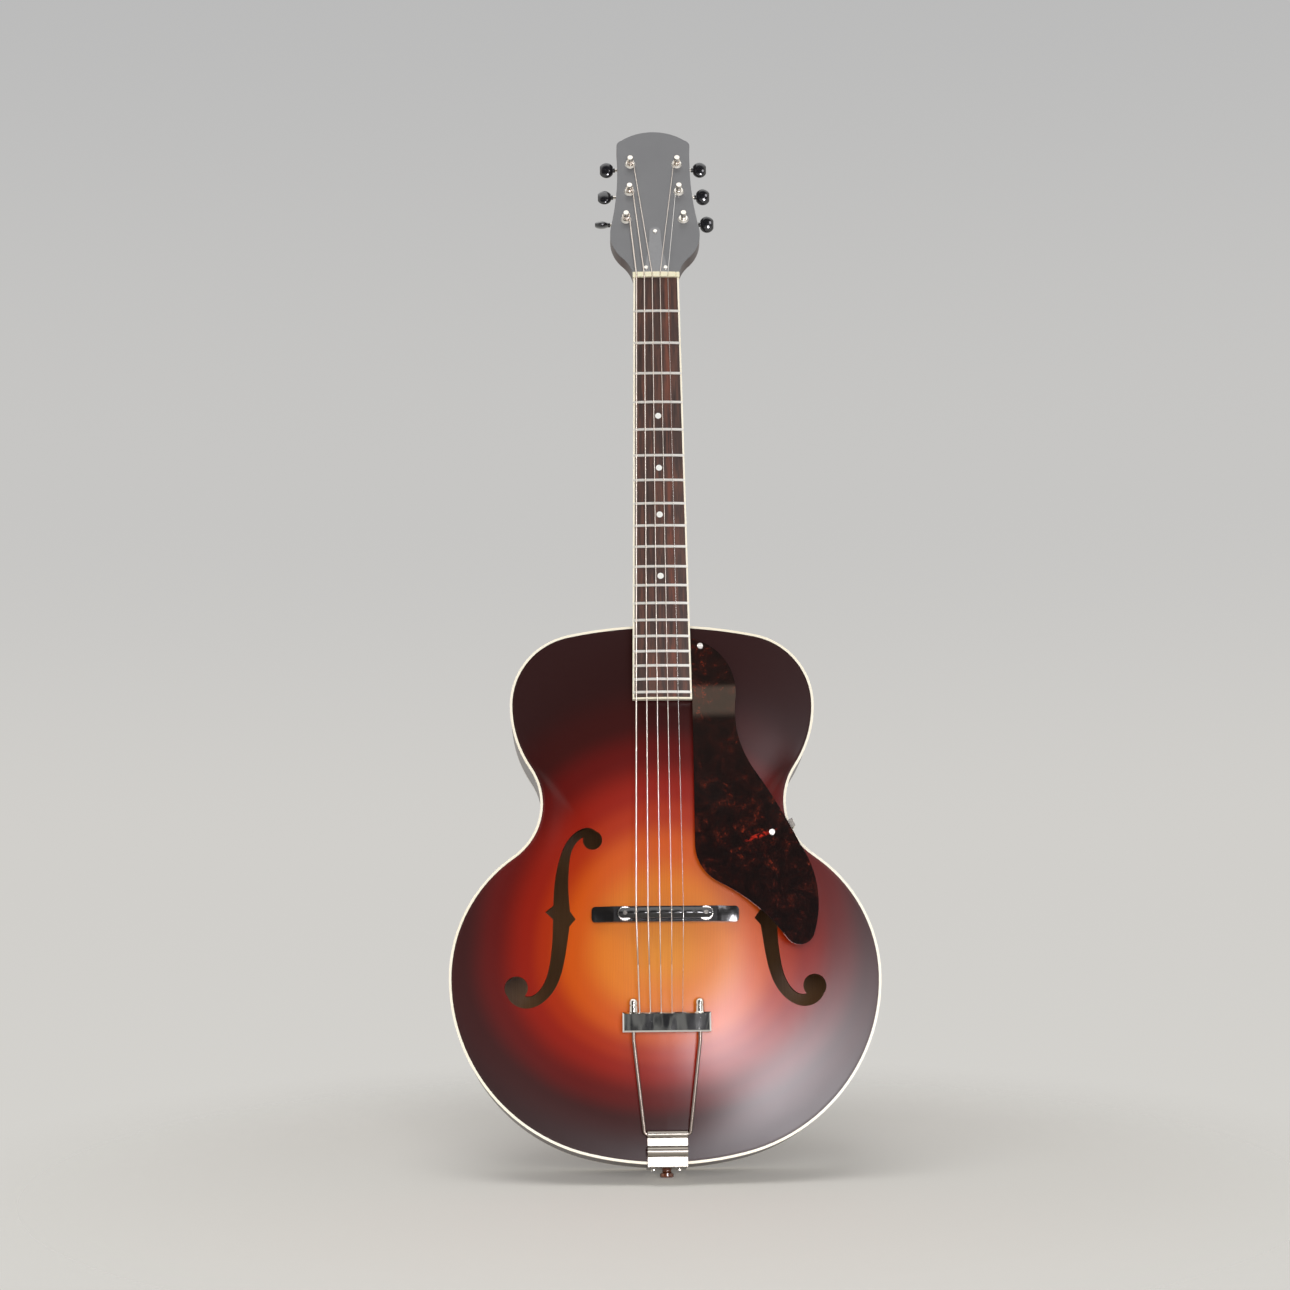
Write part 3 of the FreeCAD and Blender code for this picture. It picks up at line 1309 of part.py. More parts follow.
def strap_button():
    """Turned end pin with a waisted neck and a shank in the tail block."""
    def at(radius, z):
        return V(radius, 0, z)

    seat, low = -LOOSE - BRACKET_T, -STRAP_REACH
    land = low + STRAP_HEAD_T
    under = [at(0, low), at(STRAP_HEAD_R - STRAP_CHAMFER, low), at(STRAP_HEAD_R, low + STRAP_CHAMFER),
             at(STRAP_HEAD_R, land)]
    waist = arc_edge(under[-1], at(STRAP_NECK_R, (seat + land) / 2), at(STRAP_FLARE_R, seat))
    over = [at(STRAP_FLARE_R, seat), at(STRAP_SHANK_R, seat), at(STRAP_SHANK_R, STRAP_SHANK_L),
            at(0, STRAP_SHANK_L), at(0, low)]
    edges = Part.makePolygon(under).Edges + [waist] + Part.makePolygon(over).Edges
    return Part.Face(Part.Wire(edges)).revolve(V(0, 0, 0), V(0, 0, 1), 360)


# Pickguard and what holds it
def guard_point(place, depth):
    return V(place[0], depth, place[1])


def pickguard():
    """Plate with a straight edge along the fingerboard and arcs through the outline's points."""
    inner = board_half(BOARD_L) + LOOSE
    top, low = (inner, GUARD_HIGH), (inner, GUARD_LOW)
    points = [V(x, 0, z) for x, z in (top, *GUARD_OUTLINE, low)]
    edges = [arc_edge(*points[i:i + 3]) for i in range(0, len(points) - 2, 2)]
    edges.append(Part.makeLine(points[-1], points[0]))
    plate = Part.Face(Part.Wire(edges)).extrude(V(0, GUARD_T, 0))
    for place in (GUARD_SCREW_TOP, GUARD_SCREW_LOW):
        hole = rod(guard_point(place, -GUARD_T), guard_point(place, GUARD_T * 2), SCREW_R + JOINT_GAP)
        plate = plate.cut(hole)
    return placed(plate, GUARD_FRAME)


def guard_screw(place):
    """Seat, inward direction and the point behind the plate, in the part's frame."""
    seat = GUARD_FRAME.multVec(guard_point(place, 0))
    inward = GUARD_FRAME.Rotation.multVec(V(0, 1, 0))
    return seat, inward


def strip_contact():
    """Point of the waist where the strip comes down over the rim, and the rim's outward turn there."""
    turn = math.asin((WAIST_Z - STRIP_RIM_Z) / WAIST_R)
    return WAIST / 2 + WAIST_R * (1 - math.cos(turn)), STRIP_RIM_Z, turn


def strip_frame():
    """Frame of the strip's shelf: at the screw, x towards the rim."""
    seat, inward = guard_screw(GUARD_SCREW_LOW)
    rim_x, rim_z, rim_turn = strip_contact()
    lean = math.degrees(math.atan2(rim_z - seat.z, rim_x - seat.x))
    front = seat.add(V(inward).multiply(GUARD_T)).y + STRIP_DROP
    return FreeCAD.Placement(V(seat.x, front, seat.z), FreeCAD.Rotation(V(0, 1, 0), -lean))


def foot_frame():
    """Frame of the strip's foot: on the rim, x straight out of it."""
    rim_x, rim_z, rim_turn = strip_contact()
    turn = FreeCAD.Rotation(V(0, 1, 0), -math.degrees(rim_turn))
    return FreeCAD.Placement(V(rim_x, strip_frame().Base.y, rim_z), turn)


def foot_screw_place(x):
    return foot_frame().multVec(V(x, STRIP_FOOT + SCREW_HEAD_R, 0))


def strip_screw_hole():
    return rod(foot_screw_place(-RIM_WALL * 3), foot_screw_place(RIM_WALL * 3), SCREW_R + JOINT_GAP)


def pickguard_supports():
    """Angle strip from the guard to the rim, and the spacer on the shoulder."""
    half, outside = STRIP_W / 2, LOOSE + STRIP_T
    foot_end = STRIP_FOOT + SCREW_HEAD_R * 3
    shelf = placed(box(-STRIP_TAIL, WAIST / 2, 0, STRIP_T, -half, half), strip_frame())
    beyond = placed(box(outside, WAIST, -STRIP_W, STRIP_W, -WAIST, WAIST), foot_frame())
    foot = placed(box(LOOSE, outside, 0, foot_end, -half, half), foot_frame())
    strip = shelf.cut(beyond).fuse(foot).removeSplitter()
    seat, inward = guard_screw(GUARD_SCREW_LOW)
    strip = strip.cut(rod(seat, seat.add(V(inward).multiply(TOP_RISE)), SCREW_R + JOINT_GAP))
    strip = strip.cut(strip_screw_hole())
    top_seat, inward = guard_screw(GUARD_SCREW_TOP)
    back = top_seat.add(V(inward).multiply(GUARD_T + JOINT_GAP))
    spacer = rod(back, back.add(V(inward).multiply(GUARD_LIFT * 2)), SPACER_R)
    spacer = spacer.common(outline_slab(BINDING_W * 2, FRONT - GUARD_LIFT * 3, FRONT - LOOSE))
    spacer = spacer.cut(arch_dome(FRONT - JOINT_GAP, TOP_RISE, 1.0))
    spacer = spacer.cut(rod(top_seat, top_seat.add(V(inward).multiply(GUARD_LIFT)), SCREW_R + JOINT_GAP))
    return grouped([strip, spacer])


def pickguard_screws():
    made = []
    for place in (GUARD_SCREW_TOP, GUARD_SCREW_LOW):
        seat, inward = guard_screw(place)
        made.append(screw(seat, inward, GUARD_T + STRIP_DROP + STRIP_T, SCREW_HEAD_R))
    inward = foot_frame().Rotation.multVec(V(-1, 0, 0))
    made.append(screw(foot_screw_place(LOOSE + STRIP_T), inward, RIM_WALL + LINING_W / 2, SCREW_HEAD_R))
    return grouped(made)


# Every node and its maker
SIMPLE = [
    top_plate, back_plate, rim, top_binding, back_binding, neck_block, tail_block, kerfed_linings,
    tone_bars, neck, headstock_veneer, heel_cap, fingerboard, fingerboard_binding, frets, fret_markers,
    nut, truss_rod, truss_rod_nut, truss_rod_cover, headstock_screws, tuner_plates, tuner_bushings,
    bridge_base, bridge_posts, bridge_saddle, tailpiece_bracket, tailpiece_trapeze, tailpiece_crossbar,
    tailpiece_cap_nuts, bracket_screws, strap_button, pickguard, pickguard_supports, pickguard_screws,
]


def every_node():
    for maker in SIMPLE:
        yield maker.__name__, maker()
    for name, x in zip(("thumbwheel_bass", "thumbwheel_treble"), stud_places()):
        yield name, thumbwheel(x)
    sides = ("bass", "treble")
    for i, post in enumerate(post_places()):
        side, place = i // 3, i % 3
        label = sides[side] + "_" + str(place + 1)
        yield "tuner_post_" + label, tuner_post(post)
        yield "tuner_worm_" + label, tuner_worm(post)
        yield "tuner_button_" + label, tuner_button(post, BUTTON_TURN[side][place])
    for index in range(STRINGS_FITTED):
        yield "string_" + str(index + 1), string_tube(index)


os.makedirs("parts", exist_ok=True)
for node_name, shape in every_node():
    shape.exportStep("parts/" + node_name + ".step")
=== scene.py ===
import math

import bmesh
import bpy
from mathutils import Matrix, Quaternion, Vector


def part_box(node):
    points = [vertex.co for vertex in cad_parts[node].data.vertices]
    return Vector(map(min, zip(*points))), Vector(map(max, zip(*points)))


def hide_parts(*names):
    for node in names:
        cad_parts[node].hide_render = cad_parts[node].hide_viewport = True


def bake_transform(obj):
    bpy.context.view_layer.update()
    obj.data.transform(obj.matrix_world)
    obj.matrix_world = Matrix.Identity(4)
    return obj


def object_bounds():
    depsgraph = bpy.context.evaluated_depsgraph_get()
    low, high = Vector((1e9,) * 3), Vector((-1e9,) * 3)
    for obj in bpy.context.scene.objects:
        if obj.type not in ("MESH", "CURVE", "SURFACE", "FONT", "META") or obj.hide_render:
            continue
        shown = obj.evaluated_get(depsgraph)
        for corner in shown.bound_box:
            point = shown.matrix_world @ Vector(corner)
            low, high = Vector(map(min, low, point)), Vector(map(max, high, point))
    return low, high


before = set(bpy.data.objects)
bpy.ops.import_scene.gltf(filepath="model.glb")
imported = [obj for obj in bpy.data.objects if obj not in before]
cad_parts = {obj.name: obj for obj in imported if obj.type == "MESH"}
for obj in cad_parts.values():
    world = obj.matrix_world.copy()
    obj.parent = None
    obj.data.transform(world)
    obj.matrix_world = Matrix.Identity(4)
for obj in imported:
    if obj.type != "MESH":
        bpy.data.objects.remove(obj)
cad_low, cad_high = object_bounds()


# Rim: two strips of maple veneer bent to the outline and glued to the end blocks.
# The outside is sprayed almost black over a brown stain, the inside is left bare.
class Wire:
    """A socket in a finish's node tree. Arithmetic on it adds Math nodes."""

    def __init__(self, tree, socket):
        self.tree = tree
        self.socket = socket

    def node(self, kind, settings, links, output=0):
        """A new node with its settings, its values or links, as a wire of one of its outputs."""
        made = self.tree.nodes.new(kind)
        for name, value in settings.items():
            if name == "stops":
                ramp = made.color_ramp
                ramp.interpolation = "EASE"
                while len(ramp.elements) < len(value):
                    ramp.elements.new(0.5)
                for element, (position, colour) in zip(ramp.elements, value):
                    element.position = position
                    element.color = colour
            else:
                setattr(made, name, value)
        sockets = {socket.identifier: socket for socket in made.inputs}
        for name, value in links.items():
            if isinstance(value, Wire):
                self.tree.links.new(value.socket, sockets[name])
            else:
                sockets[name].default_value = value
        return Wire(self.tree, made.outputs[output])

    def beside(self, output):
        """Another output of the node that this wire comes from."""
        return Wire(self.tree, self.socket.node.outputs[output])

    def maths(self, operation, first, second=0.0, third=0.0):
        values = {"Value": first, "Value_001": second, "Value_002": third}
        return self.node("ShaderNodeMath", {"operation": operation}, values)

    def __add__(self, other):
        return self.maths("ADD", self, other)

    __radd__ = __add__

    def __sub__(self, other):
        return self.maths("SUBTRACT", self, other)

    def __rsub__(self, other):
        return self.maths("SUBTRACT", other, self)

    def __mul__(self, other):
        return self.maths("MULTIPLY", self, other)

    __rmul__ = __mul__

    def __truediv__(self, other):
        return self.maths("DIVIDE", self, other)

    def __pow__(self, power):
        return self.maths("POWER", self, power)

    def step(self, low, high):
        """0 below low, 1 above high, with a smooth rise between them."""
        links = {"Value": self, "From Min": low, "From Max": high}
        return self.node("ShaderNodeMapRange", {"interpolation_type": "SMOOTHSTEP"}, links)

    def parts(self):
        """The three numbers of a vector."""
        split = self.node("ShaderNodeSeparateXYZ", {}, {"Vector": self})
        return [split.beside(axis) for axis in "XYZ"]

    def stretched(self, x, y, z):
        """This vector with each of its numbers multiplied."""
        links = {"Vector": self, "Scale": (x, y, z)}
        return self.node("ShaderNodeMapping", {}, links)

    def noise(self, scale, detail=3.0, roughness=0.55, distortion=0.0):
        links = {"Vector": self, "Scale": scale, "Detail": detail, "Roughness": roughness,
                 "Distortion": distortion}
        return self.node("ShaderNodeTexNoise", {}, links)

    def ramp(self, stops):
        return self.node("ShaderNodeValToRGB", {"stops": stops}, {"Fac": self})

    def mix(self, first, second):
        """Two colours mixed by this value."""
        links = {"Factor_Float": self, "A_Color": first, "B_Color": second}
        return self.node("ShaderNodeMix", {"data_type": "RGBA"}, links, "Result")

    def bump(self, strength, height):
        links = {"Strength": strength, "Distance": height, "Height": self}
        return self.node("ShaderNodeBump", {}, links)


def ink(red, green, blue):
    """A colour as a screen shows it, from 0 to 255, as the linear colour that a shader takes."""
    shares = [value / 255 for value in (red, green, blue)]
    return (*[s / 12.92 if s < 0.04045 else ((s + 0.055) / 1.055) ** 2.4 for s in shares], 1.0)


def finish(name, **constants):
    """A new material with its constant shader values, and a wire of its object coordinates."""
    material = bpy.data.materials.new(name)
    material.use_nodes = True
    tree = material.node_tree
    shader = tree.nodes["Principled BSDF"]
    for socket, value in constants.items():
        shader.inputs[socket.replace("_", " ")].default_value = value
    place = tree.nodes.new("ShaderNodeTexCoord")
    return material, Wire(tree, place.outputs["Object"])


def dress(material, links, *nodes):
    """Links what varies to the material's shader, and puts the material on these solids."""
    shader = material.node_tree.nodes["Principled BSDF"]
    for socket, value in links.items():
        material.node_tree.links.new(value.socket, shader.inputs[socket])
    for name in nodes:
        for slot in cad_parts[name].material_slots:
            slot.material = material


BODY_LOW, BODY_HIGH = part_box("rim")
BODY_MIDDLE_Z = (BODY_LOW.z + BODY_HIGH.z) / 2
BARE_MAPLE = ink(158, 128, 92)
BARE_MAPLE_DARK = ink(134, 104, 70)
FLAME_TURN, FLAME_SLANT, FLAME_WANDER = 620.0, 60.0, 26.0


def flame(place, along, across, depth):
    """Soft cross stripes of figured maple, a few millimetres apart, in broken patches."""
    wander = place.noise(9.0, 2.0) * FLAME_WANDER
    stripe = place.maths("SINE", along * FLAME_TURN + across * FLAME_SLANT + wander)
    patch = place.noise(14.0, 1.0).step(0.35, 0.65)
    return stripe * patch * depth


rim_finish, place = finish("rim_finish", Coat_Weight=0.25, Coat_Roughness=0.22)
x, y, z = place.parts()
turn_x, _, turn_z = place.beside("Normal").parts()
outside = (turn_x * x + turn_z * (z - BODY_MIDDLE_Z)).step(-0.004, 0.004)
figure = flame(place, z, y, 0.10) + 0.5
stain = figure.mix(ink(34, 15, 12), ink(74, 32, 21))
bare = place.stretched(40, 40, 6).noise(14.0).mix(BARE_MAPLE_DARK, BARE_MAPLE)
rough = place.noise(220.0, 2.0) * 0.10 + 0.30
dress(rim_finish, {"Base Color": outside.mix(bare, stain), "Roughness": rough}, "rim")


# Neck block, tail block, kerfed linings and tone bars: plain spruce and mahogany, glued inside
# the body. They are left bare, with saw marks and a little dust.
inner_finish, place = finish("inner_finish", Specular_IOR_Level=0.25)
grain = place.stretched(160, 160, 9).noise(5.0, 4.0)
dust = place.noise(60.0, 3.0).step(0.45, 0.75)
wood = grain.mix(ink(150, 112, 72), ink(186, 150, 106))
dress(inner_finish, {"Base Color": (dust * 0.35).mix(wood, ink(168, 156, 138)),
                     "Roughness": grain * 0.2 + 0.65,
                     "Normal": grain.bump(0.3, 0.0004)},
      "neck_block", "tail_block", "kerfed_linings", "tone_bars")


# Back: an arched plate of maple, glued over the linings and sprayed with a brown sunburst.
# Its figure shows in the middle, and its inside face is bare and tan, as the f-holes show.
BURST_SPAN = 1.8
BURST_MELT = 0.5


def burst(x, z, wander, width, up, down, centre):
    """Distance from the middle of a sunburst: 1 on an egg of this half width and these reaches."""
    rise = z - centre
    high = rise.maths("MAXIMUM", rise, 0.0) / up
    low = rise.maths("MINIMUM", rise, 0.0) / down
    side = x / width
    return (side * side + high * high + low * low) ** 0.5 + wander


back_finish, place = finish("back_finish", Coat_Roughness=0.22)
x, _, z = place.parts()
wander = place.noise(7.0, 2.0) * 0.12 - 0.06
lower = burst(x, z, wander, width=0.135, up=0.150, down=0.125, centre=0.185)
upper = burst(x, z, wander, width=0.085, up=0.060, down=0.130, centre=0.405)
shade = lower.maths("SMOOTH_MIN", lower, upper, BURST_MELT) / BURST_SPAN
spray = shade.ramp([(0.0, ink(150, 84, 34)), (0.36, ink(132, 62, 24)), (0.56, ink(92, 34, 18)),
                    (0.74, ink(58, 20, 14)), (0.92, ink(36, 15, 13))])
stripes = flame(place, z, x, 0.16) + place.stretched(300, 300, 14).noise(3.0) * 0.22
lit = (1.0 - shade).step(0.2, 0.7) * stripes
turn_y = place.beside("Normal").parts()[1]
outside = turn_y.step(-0.1, 0.1)
tan = place.stretched(220, 60, 7).noise(4.0, 4.0).mix(ink(118, 84, 56), ink(150, 112, 78))
sprayed = lit.mix(spray, ink(28, 12, 9))
dress(back_finish, {"Base Color": outside.mix(tan, sprayed),
                    "Roughness": place.noise(220.0, 2.0) * 0.10 + outside * -0.35 + 0.65,
                    "Coat Weight": outside * 0.25}, "back_plate")


# Soundboard: an arched spruce plate with two f-holes, stained amber in the middle and sprayed
# through orange and red to a brown that is nearly black, under a satin lacquer.
REED_TURN, REED_WANDER = 4600.0, 26.0
soundboard_finish, place = finish("soundboard_finish", Coat_Weight=0.35, Coat_Roughness=0.27,
                                  Specular_IOR_Level=0.06)
x, _, z = place.parts()
turn_y = place.beside("Normal").parts()[1]
wander = place.noise(6.0, 2.0) * 0.10 - 0.05
shade = burst(x, z, wander, width=0.126, up=0.149, down=0.101, centre=0.190) / BURST_SPAN
spray = shade.ramp([(0.0, ink(226, 140, 18)), (0.22, ink(221, 120, 8)), (0.38, ink(203, 82, 4)),
                    (0.50, ink(164, 42, 9)), (0.58, ink(140, 26, 12)), (0.72, ink(92, 16, 12)),
                    (0.84, ink(56, 17, 15)), (1.0, ink(44, 19, 18))])
sway = place.stretched(30, 30, 4).noise(2.0) * REED_WANDER
reeds = place.maths("SINE", x * REED_TURN + sway) * 0.5 + 0.5
fibres = place.stretched(900, 900, 10).noise(1.0, 3.0)
grain = (reeds * 0.45 + fibres * 0.55) * (1.0 - shade).step(0.25, 0.75)
sprayed = (grain * 0.28).mix(spray, ink(150, 60, 14))
front = (0.0 - turn_y).step(0.25, 0.5)
inside = turn_y.step(0.25, 0.5)
bare = fibres.mix(ink(168, 134, 92), ink(194, 164, 120))
cut = fibres.mix(ink(58, 34, 20), ink(92, 58, 34))
faces = front.mix(inside.mix(cut, bare), sprayed)
satin = place.noise(180.0, 3.0) * 0.08 + 0.28
dress(soundboard_finish, {"Base Color": faces, "Roughness": satin,
                          "Normal": fibres.bump(0.04, 0.0003)}, "top_plate")


# Body bindings: cream celluloid strip let into both edges of the rim and scraped flush.
# It has yellowed unevenly and holds a little dirt.
binding_finish, place = finish("binding_finish", Coat_Weight=0.2, Coat_Roughness=0.25)
age = place.noise(11.0, 3.0)
grime = place.noise(160.0, 3.0).step(0.62, 0.8)
cream = age.mix(ink(252, 246, 232), ink(242, 230, 200))
dress(binding_finish, {"Base Color": (grime * 0.2).mix(cream, ink(186, 162, 124)),
                       "Roughness": age * 0.12 + 0.32},
      "top_binding", "back_binding", "fingerboard_binding")


# Neck: mahogany with its heel and headstock in one piece, stained dark and lacquered satin.
# The heel cap is black plastic and the truss rod a plain steel bar let in under the fingerboard.
neck_finish, place = finish("neck_finish", Coat_Weight=0.2, Coat_Roughness=0.28)
pores = place.stretched(700, 700, 22).noise(1.2, 4.0)
bands = place.stretched(30, 30, 3).noise(2.0, 2.0)
stain = bands.mix(ink(38, 20, 15), ink(70, 34, 23))
dress(neck_finish, {"Base Color": (pores.step(0.55, 0.75) * 0.5).mix(stain, ink(22, 11, 9)),
                    "Roughness": pores * 0.12 + 0.30,
                    "Normal": pores.bump(0.06, 0.0003)}, "neck")

black_finish, place = finish("black_plastic_finish", Coat_Weight=0.1)
speck = place.noise(400.0, 3.0)
dress(black_finish, {"Base Color": speck.mix(ink(26, 26, 27), ink(40, 40, 41)),
                     "Roughness": speck * 0.15 + 0.30}, "heel_cap")

rod_finish, place = finish("rod_finish", Metallic=1.0)
rust = place.noise(120.0, 4.0)
dress(rod_finish, {"Base Color": rust.mix(ink(150, 148, 146), ink(118, 104, 92)),
                   "Roughness": rust * 0.3 + 0.3}, "truss_rod")

brass_finish, place = finish("brass_finish", Metallic=1.0)
tarnish = place.noise(300.0, 4.0)
dress(brass_finish, {"Base Color": tarnish.mix(ink(202, 166, 96), ink(148, 112, 62)),
                     "Roughness": tarnish * 0.25 + 0.22}, "truss_rod_nut")


# Headstock veneer: a thin face glued on and sprayed satin black, with faint sanding lines along
# it.
# Its charcoal grey is partly the dark paint and partly painted sheen from the light above.
# The truss rod's cover is a leaf of polished plastic on three small screws.
veneer_finish, place = finish("veneer_finish", Coat_Weight=0.3, Coat_Roughness=0.40)
lines = place.stretched(900, 900, 30).noise(1.0, 3.0)
cloud = place.noise(24.0, 3.0)
# The grey base colour is the dark paint lightened by painted sheen from the light above.
dress(veneer_finish, {"Base Color": cloud.mix(ink(92, 92, 94), ink(106, 106, 107)),
                      "Roughness": lines * 0.12 + 0.36,
                      "Normal": lines.bump(0.05, 0.0002)}, "headstock_veneer")

cover_finish, place = finish("cover_finish", Coat_Weight=0.8, Coat_Roughness=0.10)
swirl = place.noise(300.0, 3.0)
dress(cover_finish, {"Base Color": swirl.mix(ink(104, 104, 106), ink(116, 116, 117)),
                     "Roughness": swirl * 0.1 + 0.2}, "truss_rod_cover")


# Fingerboard: a rosewood board with an arched face, glued to the neck between its bindings.
# Dark brown with red streaks along it, one of them strong on the treble side, and open pores.
VEIN_X, VEIN_CORE, VEIN_EDGE = 0.0105, 0.0005, 0.0050
rosewood_finish, place = finish("rosewood_finish", Specular_IOR_Level=0.4)
streaks = place.stretched(120, 120, 3).noise(2.0, 3.0, roughness=0.6, distortion=0.3)
pores = place.stretched(900, 900, 45).noise(1.0, 4.0).step(0.56, 0.72)
wood = streaks.ramp([(0.25, ink(40, 28, 24)), (0.45, ink(64, 46, 40)), (0.6, ink(88, 57, 46)),
                     (0.78, ink(114, 66, 49))])
off_vein = place.parts()[0] - VEIN_X
vein = 1.0 - off_vein.maths("ABSOLUTE", off_vein).step(VEIN_CORE, VEIN_EDGE)
wood = (vein * streaks.step(0.30, 0.60) * 0.75).mix(wood, ink(116, 62, 44))
dress(rosewood_finish, {"Base Color": (pores * 0.6).mix(wood, ink(28, 18, 15)),
                        "Roughness": pores * 0.2 + 0.42,
                        "Normal": (1.0 - pores).bump(0.15, 0.0003)}, "fingerboard")


# Frets: nickel-silver wire with a rounded crown, hammered into slots and filed flush at the ends.
# Their crowns are polished by the strings and dull beside them.
fret_finish, place = finish("fret_finish", Metallic=0.55)
rub = place.noise(500.0, 3.0)
dress(fret_finish, {"Base Color": rub.mix(ink(250, 247, 240), ink(228, 224, 215)),
                    "Roughness": rub * 0.16 + 0.26}, "frets")


# Position dots: four discs of imitation pearl, glued into drilled holes in the board
# and levelled with it.
pearl_finish, place = finish("pearl_finish", Coat_Weight=0.6, Coat_Roughness=0.08)
swirl = place.noise(380.0, 2.0, roughness=0.5, distortion=2.0)
dress(pearl_finish, {"Base Color": swirl.mix(ink(226, 226, 220), ink(250, 250, 244)),
                     "Roughness": swirl * 0.2 + 0.22}, "fret_markers")


# Nut: a cream bone block glued across the end of the board.
# It has a filed slot for each string, and faint flecks in the bone.
bone_finish, place = finish("bone_finish", Subsurface_Weight=0.05, Coat_Weight=0.15)
fleck = place.stretched(500, 120, 500).noise(2.0, 3.0)
dress(bone_finish, {"Base Color": fleck.mix(ink(240, 232, 204), ink(228, 216, 182)),
                    "Roughness": fleck * 0.15 + 0.35}, "nut")


# Tuning machines, three a side: nickel-plated plates with two ears, a worm shaft between the ears
# and a brass gear screwed to each post. Bushings guide the posts through the veneer.
nickel_finish, place = finish("nickel_finish", Metallic=1.0)
haze = place.noise(90.0, 4.0)
spots = place.noise(700.0, 3.0).step(0.62, 0.78)
plating = haze.mix(ink(226, 221, 212), ink(204, 197, 186))
dress(nickel_finish, {"Base Color": (spots * 0.35).mix(plating, ink(150, 138, 120)),
                      "Roughness": haze * 0.16 + spots * 0.15 + 0.10}, "tuner_plates",
      *[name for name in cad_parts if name.startswith(("tuner_post", "tuner_worm"))])

satin_finish, place = finish("satin_nickel_finish", Metallic=1.0)
haze = place.noise(260.0, 3.0)
dress(satin_finish, {"Base Color": haze.mix(ink(246, 243, 236), ink(232, 227, 217)),
                     "Roughness": haze * 0.12 + 0.34}, "tuner_bushings", "headstock_screws")


# Tuner knobs: oval buttons of black plastic, moulded on the flattened ends of the worm shafts.
# They are polished, with scuffs from fingers.
knob_finish, place = finish("knob_finish", Coat_Weight=0.6, Coat_Roughness=0.05)
scuff = place.noise(260.0, 4.0)
dress(knob_finish, {"Base Color": scuff.mix(ink(20, 20, 23), ink(32, 32, 36)),
                    "Roughness": scuff.step(0.5, 0.8) * 0.2 + 0.14},
      *[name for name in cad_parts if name.startswith("tuner_button")])


# Bridge: an ebony base scribed to the arch, with an ebony saddle on two threaded studs.
# Black with brown streaks, under a dull shine.
ebony_finish, place = finish("ebony_finish", Coat_Weight=0.4, Coat_Roughness=0.06)
streak = place.stretched(8, 160, 160).noise(3.0, 4.0)
dress(ebony_finish, {"Base Color": streak.mix(ink(13, 13, 13), ink(27, 24, 23)),
                     "Roughness": streak * 0.12 + 0.16,
                     "Normal": streak.bump(0.06, 0.0003)}, "bridge_base", "bridge_saddle")


SHARP_EDGE = math.radians(38)
SAME_PLACE = 1e-6


def ease_edges(width, *nodes):
    """Rounds the sharp edges of these solids."""
    for name in nodes:
        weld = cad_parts[name].modifiers.new("weld", "WELD")
        weld.merge_threshold = SAME_PLACE
        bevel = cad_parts[name].modifiers.new("edges", "BEVEL")
        bevel.width = width
        bevel.segments = 3
        bevel.limit_method = "ANGLE"
        bevel.angle_limit = SHARP_EDGE
        bevel.use_clamp_overlap = True
        bevel.harden_normals = True


ease_edges(0.0009, "bridge_base")
ease_edges(0.0006, "bridge_saddle")


# Bridge studs and thumbwheels: nickel-plated brass. The studs are screwed into the base, and
# each wheel runs on its thread under the saddle, with grip notches round it.
dress(nickel_finish, {}, "bridge_posts")
dress(satin_finish, {}, "thumbwheel_bass", "thumbwheel_treble")
ease_edges(0.0007, "bridge_posts", "thumbwheel_bass", "thumbwheel_treble")


# Tailpiece: a chromed channel hung on a bent wire trapeze that hinges in a pressed bracket.
# The plating is a wavy mirror on the channel, brushed on the bracket and worn on the wire.
chrome_finish, place = finish("chrome_finish", Metallic=1.0)
smear = place.noise(70.0, 4.0)
pits = place.noise(900.0, 3.0).step(0.66, 0.8)
waves = place.stretched(1.0, 1.0, 0.5).noise(46.0, 1.0)
dress(chrome_finish, {"Base Color": (pits * 0.3).mix(ink(236, 236, 232), ink(150, 146, 138)),
                      "Roughness": smear * 0.06 + pits * 0.2 + 0.04,
                      "Normal": waves.bump(0.6, 0.0022)}, "tailpiece_crossbar")
dress(nickel_finish, {}, "tailpiece_cap_nuts", "bracket_screws")

bracket_finish, place = finish("bracket_finish", Metallic=1.0)
brush = place.stretched(40, 600, 600).noise(2.0, 3.0)
waves = place.noise(60.0, 1.0)
dress(bracket_finish, {"Base Color": brush.mix(ink(172, 166, 156), ink(142, 135, 126)),
                       "Roughness": brush * 0.06 + 0.27,
                       "Normal": waves.bump(0.03, 0.0012)}, "tailpiece_bracket")

wire_finish, place = finish("trapeze_wire_finish", Metallic=1.0)
worn = place.noise(120.0, 3.0)
dress(wire_finish, {"Base Color": worn.mix(ink(160, 150, 142), ink(112, 98, 88)),
                    "Roughness": worn * 0.2 + 0.24}, "tailpiece_trapeze")


# Strap button: a waisted peg turned from brown horn plastic.
# Its shank goes through the bracket and is pressed into the tail block.
peg_finish, place = finish("peg_finish", Coat_Weight=0.5, Coat_Roughness=0.12)
cloud = place.noise(160.0, 3.0, roughness=0.6, distortion=1.0)
dress(peg_finish, {"Base Color": cloud.ramp([(0.3, ink(48, 20, 10)), (0.55, ink(110, 54, 26)),
                                             (0.75, ink(164, 96, 50))]),
                   "Roughness": cloud * 0.1 + 0.22}, "strap_button")


